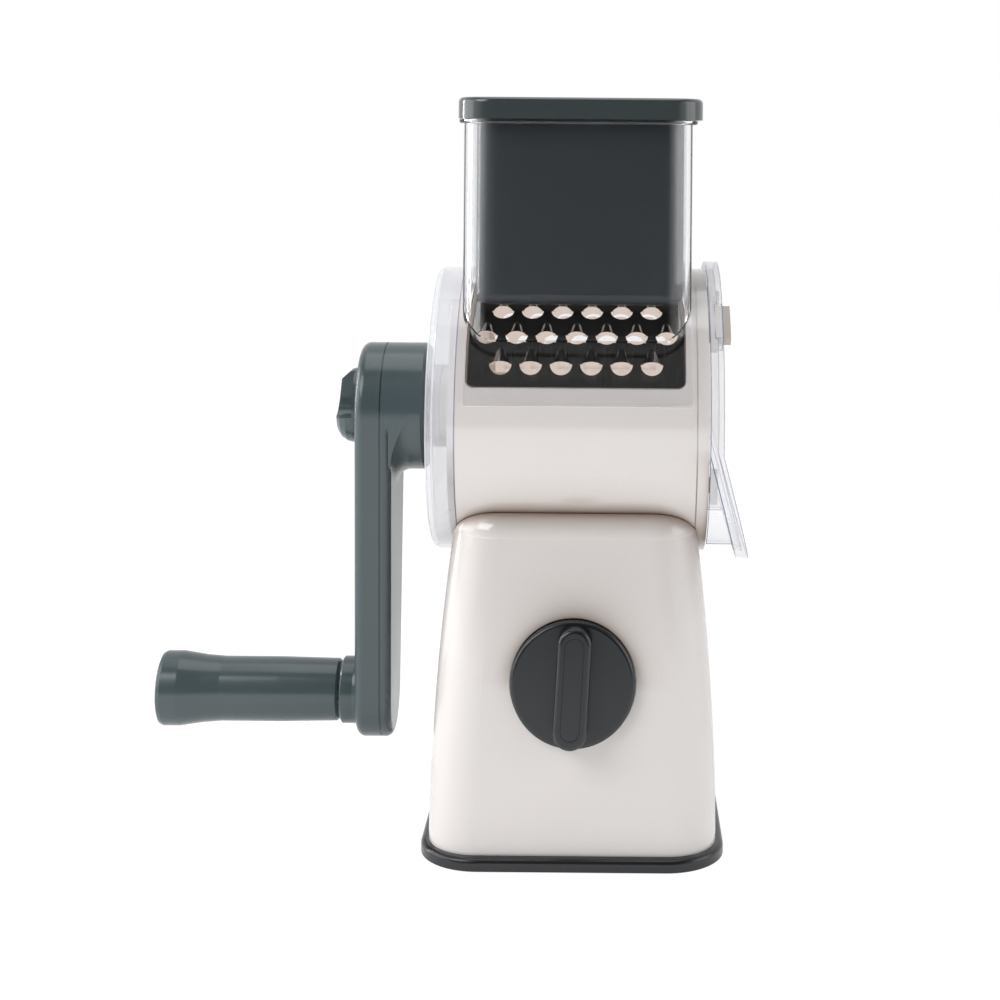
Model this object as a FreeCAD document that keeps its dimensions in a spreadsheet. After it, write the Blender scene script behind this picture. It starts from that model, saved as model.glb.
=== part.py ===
import FreeCAD, Part
import math
import os
import re

import Sketcher

# Rotary cabbage shredder. The drum turns about a line along X, the crank is at -X and the
# outlet at +X. The front, with the suction knob, faces -Y. The origin lies on the table,
# under the middle of the drum. Lengths are millimetres.

os.makedirs("parts", exist_ok=True)
doc = FreeCAD.newDocument("rotary_shredder")
sheet = doc.addObject("Spreadsheet::Sheet", "Sizes")

DRIVING_SIZES = {
    # clearances
    "body_gap": 0.3, "running_gap": 0.06, "seat_gap": 0.05, "cradle_gap": 0.4,
    # drum axis
    "axis_height": 154.7,
    # base skirt, plate and suction cup
    "skirt_side": 2.7, "skirt_front": 3.75, "skirt_corner": 21.5, "skirt_bottom": 0.3,
    "skirt_top": 4.6, "skirt_round": 1.7, "plate_top": 9.0, "pad_side": 3.9, "pad_top": 5.9,
    "pad_rim": 4.2, "pad_lip": 1.2, "pad_middle": 1.4, "pad_thick": 1.5, "guide_radius": 12.0,
    "guide_top": 26.0, "base_screw_side": 9.6, "base_screw_front": 10.7, "base_screw_radius": 1.6,
    "base_screw_length": 22.0, "base_screw_head": 3.2, "screw_head_height": 2.0,
    # base shell
    "base_wall": 2.6, "shell_width": 104.2, "shell_depth": 118.4, "shell_corner": 18.0,
    "shoulder_width": 89.8, "shoulder_depth": 98.6, "shoulder_corner": 17.5,
    "shoulder_height": 114.3, "side_bulge": 1.75, "crown_rise": 8.5, "shell_round": 8.3,
    "screw_boss_radius": 5.0, "screw_boss_top": 40.0,
    "socket_width": 40.0, "socket_depth": 30.0, "plug_drop": 12.0, "socket_wall": 2.2,
    # suction knob and cam
    "knob_height": 64.2, "knob_radius": 22.3, "knob_disc_top": 4.2, "knob_bar_top": 12.4,
    "knob_bar_width": 12.0, "knob_bar_length": 42.0, "knob_bar_turn": 2.8, "knob_edge": 1.4,
    "knob_bar_edge": 1.6, "knob_recess": 1.2, "knob_recess_gap": 0.4, "inset_width": 6.6,
    "inset_length": 35.0, "inset_thick": 1.5, "knob_screw_head": 2.6, "knob_screw_radius": 1.4,
    "bar_side": 7.6, "journal_radius": 5.5, "front_boss_radius": 11.0, "front_boss_length": 12.0,
    "cam_base_radius": 7.5, "cup_lift": 5.0, "cam_thick": 7.0, "cam_gap": 0.75,
    "stem_radius": 5.0, "foot_radius": 8.0, "foot_bottom": 3.2, "foot_thick": 1.9,
    "yoke_half_depth": 4.0, "yoke_side": 4.0, "yoke_bar": 6.0, "ear_thick": 4.5, "ear_gap": 1.2,
    "ear_half_width": 11.0, "ear_rise": 10.0, "clip_gap": 1.0, "clip_thick": 1.0,
    "clip_radius": 7.6,
    # drum housing
    "barrel_radius": 53.7, "barrel_bore": 51.0, "barrel_left": 43.1, "barrel_right": 48.2,
    "end_wall": 3.0, "boss_radius": 15.8, "boss_end": 55.5, "groove_right": 43.6,
    "groove_width": 0.5, "groove_depth": 0.3, "window_half": 39.7,
    "window_bottom": 168.8, "window_corner": 3.0, "bush_radius": 10.6, "shaft_radius": 8.0,
    # clear rear cap
    "cap_end": 54.1, "cap_wall": 2.0, "cap_edge": 2.6, "cap_seat": 1.9,
    # hopper
    "hopper_width": 84.0, "hopper_depth": 92.8, "hopper_corner": 12.0, "hopper_wall": 2.2,
    "hopper_top": 265.2, "saddle_left": 39.9, "saddle_right": 42.0,
    "saddle_bottom": 163.0, "saddle_thick": 1.6, "lip_reach": 1.9, "lip_height": 1.4,
    "lip_round": 0.9,
    # pusher
    "pusher_width": 76.4, "pusher_depth": 85.2, "pusher_corner": 8.6, "pusher_bottom": 197.8,
    "pusher_shift": 0.8, "pusher_wall": 2.2, "pusher_edge": 4.0, "arch_gap": 1.3,
    "lid_width": 89.6, "lid_depth": 98.8, "lid_corner": 13.0, "lid_height": 7.8,
    "lid_round": 1.8, "lid_plug": 4.0,
    # drum
    "drum_radius": 48.0, "drum_sheet": 0.6, "drum_left": 41.0, "drum_right": 46.6,
    "tooth_rise": 2.2, "tooth_width": 7.0, "tooth_length": 6.0, "tooth_skin": 0.45,
    "mouth_rise": 0.25, "hole_radius": 4.05,
    "hole_pitch": 11.0, "row_pitch": 12.0, "first_row_angle": 26.8, "drum_rows": 24,
    "row_holes": 7, "hub_disc": 3.0, "hub_radius": 13.0, "hub_length": 19.0,
    "front_ring_width": 4.0, "front_ring_wall": 3.4, "front_lip": 0.8,
    # drive shaft
    "flange_radius": 11.6, "flange_thick": 1.7, "drum_key": 13.0, "crank_key": 12.0,
    "drum_key_length": 16.0, "crank_key_length": 14.0, "bolt_radius": 2.5,
    # crank
    "crank_radius": 110.2, "crank_hub_radius": 24.2, "crank_end_radius": 17.1,
    "crank_outer": 83.5, "crank_seam": 74.0, "crank_inner": 69.6, "crank_hub_inner": 57.4,
    "crank_wall": 2.4, "crank_edge": 3.3, "crank_inner_edge": 3.0, "hub_flare": 6.0,
    "crank_socket_radius": 11.0, "seam_groove": 0.5,
    # grip
    "collar_radius": 12.5, "collar_length": 6.4, "grip_gap": 0.7, "grip_length": 69.4,
    "grip_radius": 12.05, "grip_neck_radius": 11.6, "grip_end_radius": 13.95,
    "grip_band": 10.0, "grip_taper": 14.0, "grip_edge": 1.9, "spindle_radius": 4.0,
    "spindle_head": 7.0, "spindle_head_thick": 1.8, "grip_pocket_radius": 8.4,
    "grip_pocket_depth": 11.0, "retainer_radius": 6.8, "end_cap_thick": 2.4,
    # lock knob
    "lock_radius": 14.3, "lock_height": 8.8, "lock_round": 6.8, "lock_fin": 8.0,
    "lock_floor": 2.0, "lock_scoop_end": 3.5, "lock_seat": 0.3, "lock_lean": 1.7,
    "lock_slope": 6.0,
    # outlet guard
    "guard_radius": 56.5, "guard_wall": 2.6, "guard_face": 1.8, "guard_depth": 4.9,
    "guard_start": 48.4, "bend_drop": 9.0, "spout_slope": 14.8, "web_radius": 54.9,
    "outlet_half": 30.0, "outlet_drop": 38.0,
    # latches of the guard
    "latch_angle": 44.4, "hook_angle": 24.8, "latch_length": 22.0, "hook_length": 12.5,
    "latch_depth": 4.5, "latch_travel": 1.2, "thumb_length": 15.0, "thumb_proud": 2.9,
    "finger_length": 5.0, "finger_thick": 1.1,
}

for row, (alias, value) in enumerate(DRIVING_SIZES.items(), start=1):
    sheet.set(f"A{row}", alias)
    sheet.set(f"B{row}", str(value))
    sheet.setAlias(f"B{row}", alias)
doc.recompute()


def size(alias):
    """The number in one cell of the sheet."""
    return float(sheet.get(alias))


def in_sheet(expression):
    """An expression over size names, with each name pointed at the sheet."""
    return re.sub(r"\b[a-z]+_[a-z_]+\b", lambda word: "Sizes." + word.group(), expression)


def bind(item, **paths):
    for path, expression in paths.items():
        item.setExpression(path.replace("__", "."), in_sheet(expression))


# Places worked out from the sizes.
LEAN_SLOPE = "((shell_depth - shoulder_depth) / 2 / (shoulder_height - skirt_top))"
TILT = f"(90 deg - atan{LEAN_SLOPE})"
KNOB_FRONT = f"(-shell_depth / 2 + (knob_height - skirt_top) * {LEAN_SLOPE})"
CAM_HEIGHT = f"(knob_height + {KNOB_FRONT} * {LEAN_SLOPE})"
CRADLE_RADIUS = "(barrel_radius + cradle_gap)"
BARREL_BOTTOM = "(axis_height - barrel_radius)"
SADDLE_RADIUS = "(barrel_radius + seat_gap)"
ARCH_RADIUS = "(drum_radius + tooth_rise + arch_gap)"
HANDLE_HEIGHT = "(axis_height - crank_radius)"
LID_BOTTOM = "(hopper_top + body_gap)"
FINGER_TOP = "(barrel_bore - body_gap)"
LATCH_TOP = "(guard_radius - guard_wall - body_gap)"
PAD_RADIUS = "(shell_width / 2 - pad_side)"
CROWN_TOP = "(shoulder_height + crown_rise)"
LONG = "400"


# --- Small helpers for document objects ---------------------------------------------------

def place(item, x="0", y="0", z="0", axis=None, angle="0"):
    """Binds where an object stands, and how far it is turned about an axis."""
    if axis:
        item.Placement = FreeCAD.Placement(FreeCAD.Vector(), FreeCAD.Vector(*axis), 90)
        bind(item, Placement__Rotation__Angle=angle)
    bind(item, Placement__Base__x=x, Placement__Base__y=y, Placement__Base__z=z)
    return item


def primitive(kind, name, sizes, **where):
    item = doc.addObject("Part::" + kind, name)
    bind(item, **sizes)
    return place(item, **where)


def block(name, x, y, z):
    """A box between two expressions along each axis."""
    sizes = {"Length": f"{x[1]} - ({x[0]})", "Width": f"{y[1]} - ({y[0]})",
             "Height": f"{z[1]} - ({z[0]})"}
    return primitive("Box", name, sizes, x=x[0], y=y[0], z=z[0])


def rod_x(name, radius, start, end, y="0", z="axis_height"):
    """A cylinder along X."""
    sizes = {"Radius": radius, "Height": f"{end} - ({start})"}
    return primitive("Cylinder", name, sizes, x=start, y=y, z=z, axis=(0, 1, 0), angle="90 deg")


def rod_z(name, radius, start, end, x="0", y="0"):
    """An upright cylinder."""
    sizes = {"Radius": radius, "Height": f"{end} - ({start})"}
    return primitive("Cylinder", name, sizes, x=x, y=y, z=start)


def knob_rod(name, radius, start, end):
    """A cylinder along the knob's axis, measured outwards from the front face."""
    sizes = {"Radius": radius, "Height": f"{end} - ({start})"}
    return primitive("Cylinder", name, sizes, x="0", y=f"{KNOB_FRONT} - ({start}) * sin({TILT})",
                     z=f"knob_height + ({start}) * cos({TILT})", axis=(1, 0, 0), angle=TILT)


def on_knob_axis(item):
    """Stands an object, built upright about Z, on the knob's axis."""
    return place(item, y=KNOB_FRONT, z="knob_height", axis=(1, 0, 0), angle=TILT)


def fuse(name, *pieces):
    item = doc.addObject("Part::MultiFuse", name)
    item.Shapes = list(pieces)
    item.Refine = True
    return item


def common(name, *pieces):
    item = doc.addObject("Part::MultiCommon", name)
    item.Shapes = list(pieces)
    return item


def cut(name, base, *tools):
    item = doc.addObject("Part::Cut", name)
    item.Base = base
    item.Tool = tools[0] if len(tools) == 1 else fuse(name + "_tools", *tools)
    return item


# --- Helpers for bodies and sketches ------------------------------------------------------

def new_body(name):
    return doc.addObject("PartDesign::Body", name)


def new_sketch(body, role, offset="0"):
    sketch = body.newObject("Sketcher::SketchObject", body.Name + "_sketch")
    origin = [item for item in body.Origin.OriginFeatures if item.Role == role]
    sketch.AttachmentSupport = [(origin[0], "")]
    sketch.MapMode = "FlatFace"
    bind(sketch, AttachmentOffset__Base__z=offset)
    return sketch


def dimension(sketch, kind, expression, *elements, start=10.0):
    """A sketch dimension held to an expression."""
    index = sketch.addConstraint(Sketcher.Constraint(kind, *elements, start))
    sketch.renameConstraint(index, f"{kind}_{index}".lower())
    sketch.setExpression(f".Constraints.{kind}_{index}".lower().replace(
        ".constraints", ".Constraints"), in_sheet(expression))


def pin(sketch, element, point, x, y, at):
    """Holds one point of a sketch to a pair of expressions."""
    dimension(sketch, "DistanceX", x, -1, 1, element, point, start=at[0])
    dimension(sketch, "DistanceY", y, -1, 1, element, point, start=at[1])


def polygon(sketch, corners):
    """A closed outline of straight lines between pairs of expressions."""
    count = len(corners)
    turns = [2 * math.pi * index / count for index in range(count)]
    spots = [FreeCAD.Vector(30 * math.cos(turn), 30 * math.sin(turn), 0) for turn in turns]
    for index in range(count):
        sketch.addGeometry(Part.LineSegment(spots[index], spots[(index + 1) % count]))
    for index in range(count):
        sketch.addConstraint(Sketcher.Constraint("Coincident", index, 2, (index + 1) % count, 1))
        pin(sketch, index, 1, *corners[index], at=spots[index])


def circle(sketch, radius, x="0", y="0"):
    centre = FreeCAD.Vector(1, 1, 0)
    index = sketch.addGeometry(Part.Circle(centre, FreeCAD.Vector(0, 0, 1), 5))
    pin(sketch, index, 3, x, y, at=centre)
    dimension(sketch, "Radius", radius, index, start=5.0)


def rounded_rectangle(sketch, width, depth, corner, x="0", y="0"):
    """Four lines joined by four tangent corner arcs, centred on a point."""
    half, radius = 50.0, 10.0
    inner = half - radius
    centres = [(inner, -inner), (inner, inner), (-inner, inner), (-inner, -inner)]
    ends = [((-inner, -half), (inner, -half)), ((half, -inner), (half, inner)),
            ((inner, half), (-inner, half)), ((-half, inner), (-half, -inner))]
    for start, end in ends:
        sketch.addGeometry(Part.LineSegment(FreeCAD.Vector(*start, 0), FreeCAD.Vector(*end, 0)))
    for index, spot in enumerate(centres):
        ring = Part.Circle(FreeCAD.Vector(*spot, 0), FreeCAD.Vector(0, 0, 1), radius)
        start = (index - 1) * math.pi / 2
        sketch.addGeometry(Part.ArcOfCircle(ring, start, start + math.pi / 2))
    for index in range(4):
        arc = 4 + index
        sketch.addConstraint(Sketcher.Constraint("Tangent", index, 2, arc, 1))
        sketch.addConstraint(Sketcher.Constraint("Tangent", arc, 2, (index + 1) % 4, 1))
        flat = "Horizontal" if index % 2 == 0 else "Vertical"
        sketch.addConstraint(Sketcher.Constraint(flat, index))
        if index:
            sketch.addConstraint(Sketcher.Constraint("Equal", 4, arc))
    dimension(sketch, "Radius", corner, 4, start=radius)
    dimension(sketch, "DistanceX", f"{x} - ({width}) / 2", -1, 1, 3, 1, start=-half)
    dimension(sketch, "DistanceX", f"{x} + ({width}) / 2", -1, 1, 1, 1, start=half)
    dimension(sketch, "DistanceY", f"{y} - ({depth}) / 2", -1, 1, 0, 1, start=-half)
    dimension(sketch, "DistanceY", f"{y} + ({depth}) / 2", -1, 1, 2, 1, start=half)


def two_round_ends(sketch, first, first_radius, second, second_radius):
    """Two circles, one above the other, joined by their outer tangent lines."""
    top, bottom, big, small = 60.0, -60.0, 20.0, 15.0
    normal = FreeCAD.Vector(0, 0, 1)
    upper = Part.Circle(FreeCAD.Vector(0, top, 0), normal, big)
    lower = Part.Circle(FreeCAD.Vector(0, bottom, 0), normal, small)
    sketch.addGeometry(Part.ArcOfCircle(upper, 0, math.pi))
    sketch.addGeometry(Part.ArcOfCircle(lower, math.pi, 2 * math.pi))
    left = (FreeCAD.Vector(-big, top, 0), FreeCAD.Vector(-small, bottom, 0))
    right = (FreeCAD.Vector(small, bottom, 0), FreeCAD.Vector(big, top, 0))
    sketch.addGeometry(Part.LineSegment(*left))
    sketch.addGeometry(Part.LineSegment(*right))
    for pair in ((0, 2, 2, 1), (2, 2, 1, 1), (1, 2, 3, 1), (3, 2, 0, 1)):
        sketch.addConstraint(Sketcher.Constraint("Tangent", *pair))
    pin(sketch, 0, 3, *first, at=(0, top))
    pin(sketch, 1, 3, *second, at=(0, bottom))
    dimension(sketch, "Radius", first_radius, 0, start=big)
    dimension(sketch, "Radius", second_radius, 1, start=small)


def pad(body, sketch, length, reverse=False, both_ways=False):
    feature = body.newObject("PartDesign::Pad", body.Name + "_pad")
    feature.Profile = sketch
    feature.Reversed = reverse
    if both_ways:
        feature.SideType = "Symmetric"
    bind(feature, Length=length)
    return feature


def fillet(body, radius, chosen):
    """Rounds the edges of the body's last feature that pass a test."""
    doc.recompute()
    base = body.Tip
    names = [f"Edge{index}" for index, edge in enumerate(base.Shape.Edges, start=1)
             if chosen(edge)]
    feature = body.newObject("PartDesign::Fillet", body.Name + "_fillet")
    feature.Base = (base, names)
    bind(feature, Radius=radius)
    return feature


def at_height(height, reach=0.01):
    """A test for edges that lie flat at one height."""
    def test(edge):
        box = edge.BoundBox
        return abs(box.ZMin - height) < reach and abs(box.ZMax - height) < reach
    return test


def at_station(station, reach=0.01):
    """A test for edges that lie in one plane across X."""
    def test(edge):
        box = edge.BoundBox
        return abs(box.XMin - station) < reach and abs(box.XMax - station) < reach
    return test


def slab(name, width, depth, corner, bottom, top, x="0"):
    """A body with a rounded rectangle as its plan."""
    body = new_body(name)
    sketch = new_sketch(body, "XY_Plane", bottom)
    rounded_rectangle(sketch, width, depth, corner, x=x)
    pad(body, sketch, f"{top} - ({bottom})")
    return body


def turned(name, corners, height="axis_height", axis="H_Axis"):
    """A body turned from an outline: along X at a height, or about Z with V_Axis."""
    body = new_body(name)
    sketch = new_sketch(body, "XZ_Plane")
    polygon(sketch, corners)
    feature = body.newObject("PartDesign::Revolution", name + "_revolution")
    feature.Profile = sketch
    feature.ReferenceAxis = (sketch, [axis])
    feature.Angle = 360
    return place(body, z=height)


def prism_y(name, corners):
    """A long bar along Y whose section is an outline in X and Z."""
    body = new_body(name)
    sketch = new_sketch(body, "XZ_Plane")
    polygon(sketch, corners)
    pad(body, sketch, LONG, both_ways=True)
    return body


def hexagon(across_flats):
    """The six corners of a hexagonal key."""
    reach = f"({across_flats}) / sqrt(3)"
    return [(f"{reach} * cos({60 * index} deg)", f"{reach} * sin({60 * index} deg)")
            for index in range(6)]


def key_bar(name, corners, start, end):
    """A bar along X on the drum axis with a flat-sided section."""
    body = new_body(name)
    sketch = new_sketch(body, "YZ_Plane", start)
    polygon(sketch, corners)
    pad(body, sketch, f"{end} - ({start})")
    return place(body, z="axis_height")


# --- Base: plate, shell, suction cup ------------------------------------------------------

def base_frame():
    """Dark skirt and plate, with the stem's guide and two ears that carry the cam shaft."""
    skirt = slab("frame_skirt", "shell_width + 2 * skirt_side", "shell_depth + 2 * skirt_front",
                 "skirt_corner", "skirt_bottom", "skirt_top")
    fillet(skirt, "skirt_round", at_height(size("skirt_top")))
    inset = "2 * base_wall + 2 * body_gap + 1"
    plate = slab("frame_plate", f"shell_width - ({inset})", f"shell_depth - ({inset})",
                 "shell_corner - base_wall", "skirt_bottom + 1", "plate_top")
    guide = rod_z("frame_guide", "guide_radius", "plate_top - 1", "guide_top")
    top = f"{CAM_HEIGHT} + ear_rise"
    near, far = "yoke_half_depth + ear_gap", "yoke_half_depth + ear_gap + ear_thick"
    half = "ear_half_width"
    ears = [block("frame_ear_back", (f"-{half}", half), (near, far), ("plate_top - 1", top)),
            block("frame_ear_front", (f"-{half}", half), (f"-({far})", f"-({near})"),
                  ("plate_top - 1", top))]
    solid = fuse("frame_solid", skirt, plate, guide, *ears)
    pocket = rod_z("frame_pocket", f"{PAD_RADIUS} + body_gap", "skirt_bottom - 1",
                   "pad_top + body_gap")
    lift_room = rod_z("frame_lift_room", "foot_radius + 0.8", "pad_top",
                      "foot_bottom + foot_thick + cup_lift + 1.1")
    bore = rod_z("frame_bore", "stem_radius + running_gap", "0", LONG)
    journals = knob_rod("frame_journals", "journal_radius + running_gap", "-2 * knob_height", "0")
    holes = [rod_z("frame_screw_hole", "base_screw_radius + 0.2", "0", "plate_top + 1", x=x, y=y)
             for x, y in base_screw_spots()]
    seats = [rod_z("frame_screw_seat", "base_screw_head + 0.3", "0",
                   "skirt_bottom + screw_head_height + 0.4", x=x, y=y)
             for x, y in base_screw_spots()]
    return cut("base_frame", solid, pocket, lift_room, bore, journals, *holes, *seats)


def base_screw_spots():
    x, y = "(shell_width / 2 - base_screw_side)", "(shell_depth / 2 - base_screw_front)"
    return [(f"{across} * {x}", f"{along} * {y}") for across in (-1, 1) for along in (-1, 1)]


def base_screws():
    """Four screws that hold the plate to the shell."""
    bottom = "skirt_bottom + 0.4"
    screws = []
    for x, y in base_screw_spots():
        head = rod_z("screw_head", "base_screw_head", bottom,
                     f"{bottom} + screw_head_height", x=x, y=y)
        shank = rod_z("screw_shank", "base_screw_radius", bottom,
                      f"{bottom} + base_screw_length", x=x, y=y)
        slot = block("screw_slot", (f"{x} - 2.2", f"{x} + 2.2"), (f"{y} - 0.4", f"{y} + 0.4"),
                     ("0", f"{bottom} + 0.9"))
        screws.append(cut("screw", fuse("screw_blank", head, shank), slot))
    group = doc.addObject("Part::Compound", "base_screws")
    group.Links = screws
    return group


def tapered_shell(name, inset):
    """The leaning walls of the base, or of the room inside it, up to the shoulder. The two
    sides bulge a little, the front and the back are flat."""
    body = new_body(name)
    sections = []
    for share in ("0", "1 / 3", "2 / 3", "1"):
        height = f"skirt_top + (shoulder_height - skirt_top) * {share}"
        section = new_sketch(body, "XY_Plane", height)
        bulge = f"8 * side_bulge * ({share}) * (1 - {share})"
        width = f"shell_width + (shoulder_width - shell_width) * {share} + {bulge}"
        depth = f"shell_depth + (shoulder_depth - shell_depth) * {share}"
        corner = f"shell_corner + (shoulder_corner - shell_corner) * {share}"
        rounded_rectangle(section, f"{width} - 2 * ({inset})", f"{depth} - 2 * ({inset})",
                          f"{corner} - ({inset})")
        sections.append(section)
    loft = body.newObject("PartDesign::AdditiveLoft", name + "_loft")
    loft.Profile = sections[0]
    loft.Sections = sections[1:]
    return body


def base_shell():
    """White hollow base with a cradle on top and a seat for the knob in front."""
    crown = slab("shell_crown", "shoulder_width", "shoulder_depth", "shoulder_corner",
                 "shoulder_height", CROWN_TOP)
    fillet(crown, "min(shell_round; crown_rise - 0.2)",
           at_height(size("shoulder_height") + size("crown_rise")))
    outer = fuse("shell_outer", tapered_shell("shell_walls", "0"), crown)
    cradle = rod_x("shell_cradle", CRADLE_RADIUS, "-200", "200")
    room = cut("shell_room", tapered_shell("shell_inner", "base_wall"),
               rod_x("shell_floor", f"{CRADLE_RADIUS} + base_wall", "-200", "200"))
    skin = cut("shell_skin", cut("shell_block", outer, cradle), room)
    bosses = [rod_z("shell_boss", "screw_boss_radius", "plate_top + body_gap",
                    "screw_boss_top", x=x, y=y) for x, y in base_screw_spots()]
    inside = common("shell_bosses", fuse("shell_boss_rods", *bosses),
                    tapered_shell("shell_limit", "base_wall / 2"))
    front = knob_rod("shell_front_boss", "front_boss_radius",
                     "-knob_recess - front_boss_length", "-knob_recess")
    wide, deep = "socket_width / 2 + body_gap", "socket_depth / 2 + body_gap"
    floor = f"{BARREL_BOTTOM} - plug_drop - body_gap"
    wall = "socket_wall"
    box = cut("shell_socket", block("shell_socket_block",
                                    (f"-({wide} + {wall})", f"{wide} + {wall}"),
                                    (f"-({deep} + {wall})", f"{deep} + {wall}"),
                                    (f"{floor} - {wall}", f"{BARREL_BOTTOM} + 8")),
              rod_x("shell_socket_trim", CRADLE_RADIUS, "-200", "200"))
    solid = fuse("shell_solid", skin, inside, front, box)
    socket = block("shell_socket_hole", (f"-({wide})", wide), (f"-({deep})", deep),
                   (floor, "axis_height"))
    recess = knob_rod("shell_recess", "knob_radius + knob_recess_gap", "-knob_recess", "20")
    bore = knob_rod("shell_bore", "journal_radius + running_gap",
                    "-front_boss_length - knob_recess - 5", "5")
    pilots = [rod_z("shell_pilot", "base_screw_radius + seat_gap", "plate_top - 1",
                    "base_screw_length + 3", x=x, y=y) for x, y in base_screw_spots()]
    return cut("base_shell", solid, socket, recess, bore, *pilots)


def suction_pad():
    """Rubber cup with a rim, a thin middle and a pocket that grips the stem's foot."""
    neck = "stem_radius + body_gap"
    pocket = "foot_radius + body_gap"
    low, high = "foot_bottom - body_gap", "foot_bottom + foot_thick + body_gap"
    return turned("suction_pad", [
        ("0", "pad_middle"), (f"{pocket} + 4", "pad_middle"),
        (f"{PAD_RADIUS} - pad_rim", "pad_middle + pad_thick"), (f"{PAD_RADIUS} - pad_lip", "0"),
        (PAD_RADIUS, "0"), (PAD_RADIUS, "pad_top"), (neck, "pad_top"), (neck, high),
        (pocket, high), (pocket, low), ("0", low)], height="0", axis="V_Axis")


def pull_stem():
    """Stem with a foot in the cup and a window round the cam."""
    foot_top = "foot_bottom + foot_thick"
    reach = "cam_base_radius + cup_lift + 1.2"
    window_low = f"{CAM_HEIGHT} - cam_base_radius - cup_lift - cam_gap"
    window_high = f"{CAM_HEIGHT} + cam_base_radius + cam_gap"
    half, deep = f"{reach} + yoke_side", "yoke_half_depth"
    foot = rod_z("stem_foot", "foot_radius", "foot_bottom", foot_top)
    stem = rod_z("stem_rod", "stem_radius", "foot_bottom", f"{window_low} - yoke_bar / 2")
    yoke = block("stem_yoke", (f"-({half})", half), (f"-{deep}", deep),
                 (f"{window_low} - yoke_bar", f"{window_high} + yoke_bar"))
    window = block("stem_window", (f"-({reach})", reach), (f"-{deep} - 1", f"{deep} + 1"),
                   (window_low, window_high))
    return cut("pull_stem", fuse("stem_solid", foot, stem, yoke), window)


def square(side):
    return [(f"{a} * ({side}) / 2", f"{b} * ({side}) / 2")
            for a, b in ((-1, -1), (1, -1), (1, 1), (-1, 1))]


def cam_shaft():
    """Square bar with round journals where it runs in the shell and in the two ears."""
    length = f"(-{KNOB_FRONT} / sin({TILT}) + yoke_half_depth + ear_gap + ear_thick + 4)"
    body = new_body("shaft_bar")
    sketch = new_sketch(body, "XY_Plane", f"-{length}")
    polygon(sketch, square("bar_side"))
    pad(body, sketch, f"{length} + knob_disc_top + 1.5")
    on_knob_axis(body)
    middle = f"(-{KNOB_FRONT} / sin({TILT}))"
    inner = "(yoke_half_depth + ear_gap - 0.6)"
    outer = "(yoke_half_depth + ear_gap + ear_thick + clip_gap)"
    journals = [
        knob_rod("shaft_front", "journal_radius", "-front_boss_length - knob_recess - 1",
                 "-knob_recess"),
        knob_rod("shaft_near", "journal_radius", f"-{middle} + {inner}", f"-{middle} + {outer}"),
        knob_rod("shaft_far", "journal_radius", f"-{middle} - {outer} - clip_thick - 1.4",
                 f"-{middle} - {inner}")]
    groove = cut("shaft_groove",
                 knob_rod("shaft_groove_ring", "journal_radius + 1",
                          f"-{middle} - {outer} - clip_thick - 0.1", f"-{middle} - {outer}"),
                 knob_rod("shaft_groove_core", "journal_radius - 1.1", "-300", "0"))
    screw = knob_rod("shaft_screw_hole", "knob_screw_radius + seat_gap", "-8", "20")
    return cut("cam_shaft", fuse("shaft_solid", body, *journals), groove, screw)


def shaft_clip():
    """Open spring ring in the groove at the shaft's inner end."""
    middle = f"(-{KNOB_FRONT} / sin({TILT}))"
    start = f"-{middle} - (yoke_half_depth + ear_gap + ear_thick + clip_gap) - clip_thick - 0.05"
    ring = knob_rod("clip_ring", "clip_radius", start, f"{start} + clip_thick")
    hole = knob_rod("clip_hole", "journal_radius - 1.05", "-300", "0")
    gap = block("clip_gap", ("-3", "3"), ("-200", "200"), ("0", CAM_HEIGHT))
    return cut("shaft_clip", ring, hole, gap)


def cam_outline(steps=20):
    """Snail whose flat follower rises evenly with the angle: the involute of a small circle."""
    rise = size("cup_lift") / (math.pi / 2)
    base = size("cam_base_radius")
    points = [FreeCAD.Vector()]
    for step in range(steps + 1):
        turn = math.radians(100) * step / steps
        up = FreeCAD.Vector(-math.sin(turn), math.cos(turn), 0)
        side = FreeCAD.Vector(-math.cos(turn), -math.sin(turn), 0)
        points.append(up * (base + rise * turn) + side * rise)
    return points + [FreeCAD.Vector()]


def lift_cam():
    """Snail cam on the square bar."""
    thick = size("cam_thick")
    lobe = Part.Face(Part.makePolygon(cam_outline())).extrude(FreeCAD.Vector(0, 0, thick))
    disc = Part.makeCylinder(size("cam_base_radius"), thick)
    side = size("bar_side") + 2 * size("seat_gap")
    hole = Part.makeBox(side, side, thick, FreeCAD.Vector(-side / 2, -side / 2, 0))
    cam = doc.addObject("Part::Feature", "lift_cam")
    cam.Shape = lobe.fuse(disc).cut(hole).removeSplitter()
    start = f"({KNOB_FRONT} / sin({TILT}) - cam_thick / 2)"
    return place(cam, y=f"{KNOB_FRONT} - {start} * sin({TILT})",
                 z=f"knob_height + {start} * cos({TILT})", axis=(1, 0, 0), angle=TILT)


def stadium(name, width, length, bottom, top):
    """Upright bar with round ends on the knob's axis, turned a little clockwise."""
    body = new_body(name)
    sketch = new_sketch(body, "XY_Plane", bottom)
    half = f"(({length}) / 2 - ({width}) / 2)"
    x, y = f"{half} * sin(knob_bar_turn)", f"{half} * cos(knob_bar_turn)"
    two_round_ends(sketch, (x, y), f"({width}) / 2", (f"-{x}", f"-{y}"), f"({width}) / 2")
    pad(body, sketch, f"{top} - ({bottom})")
    return body


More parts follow.
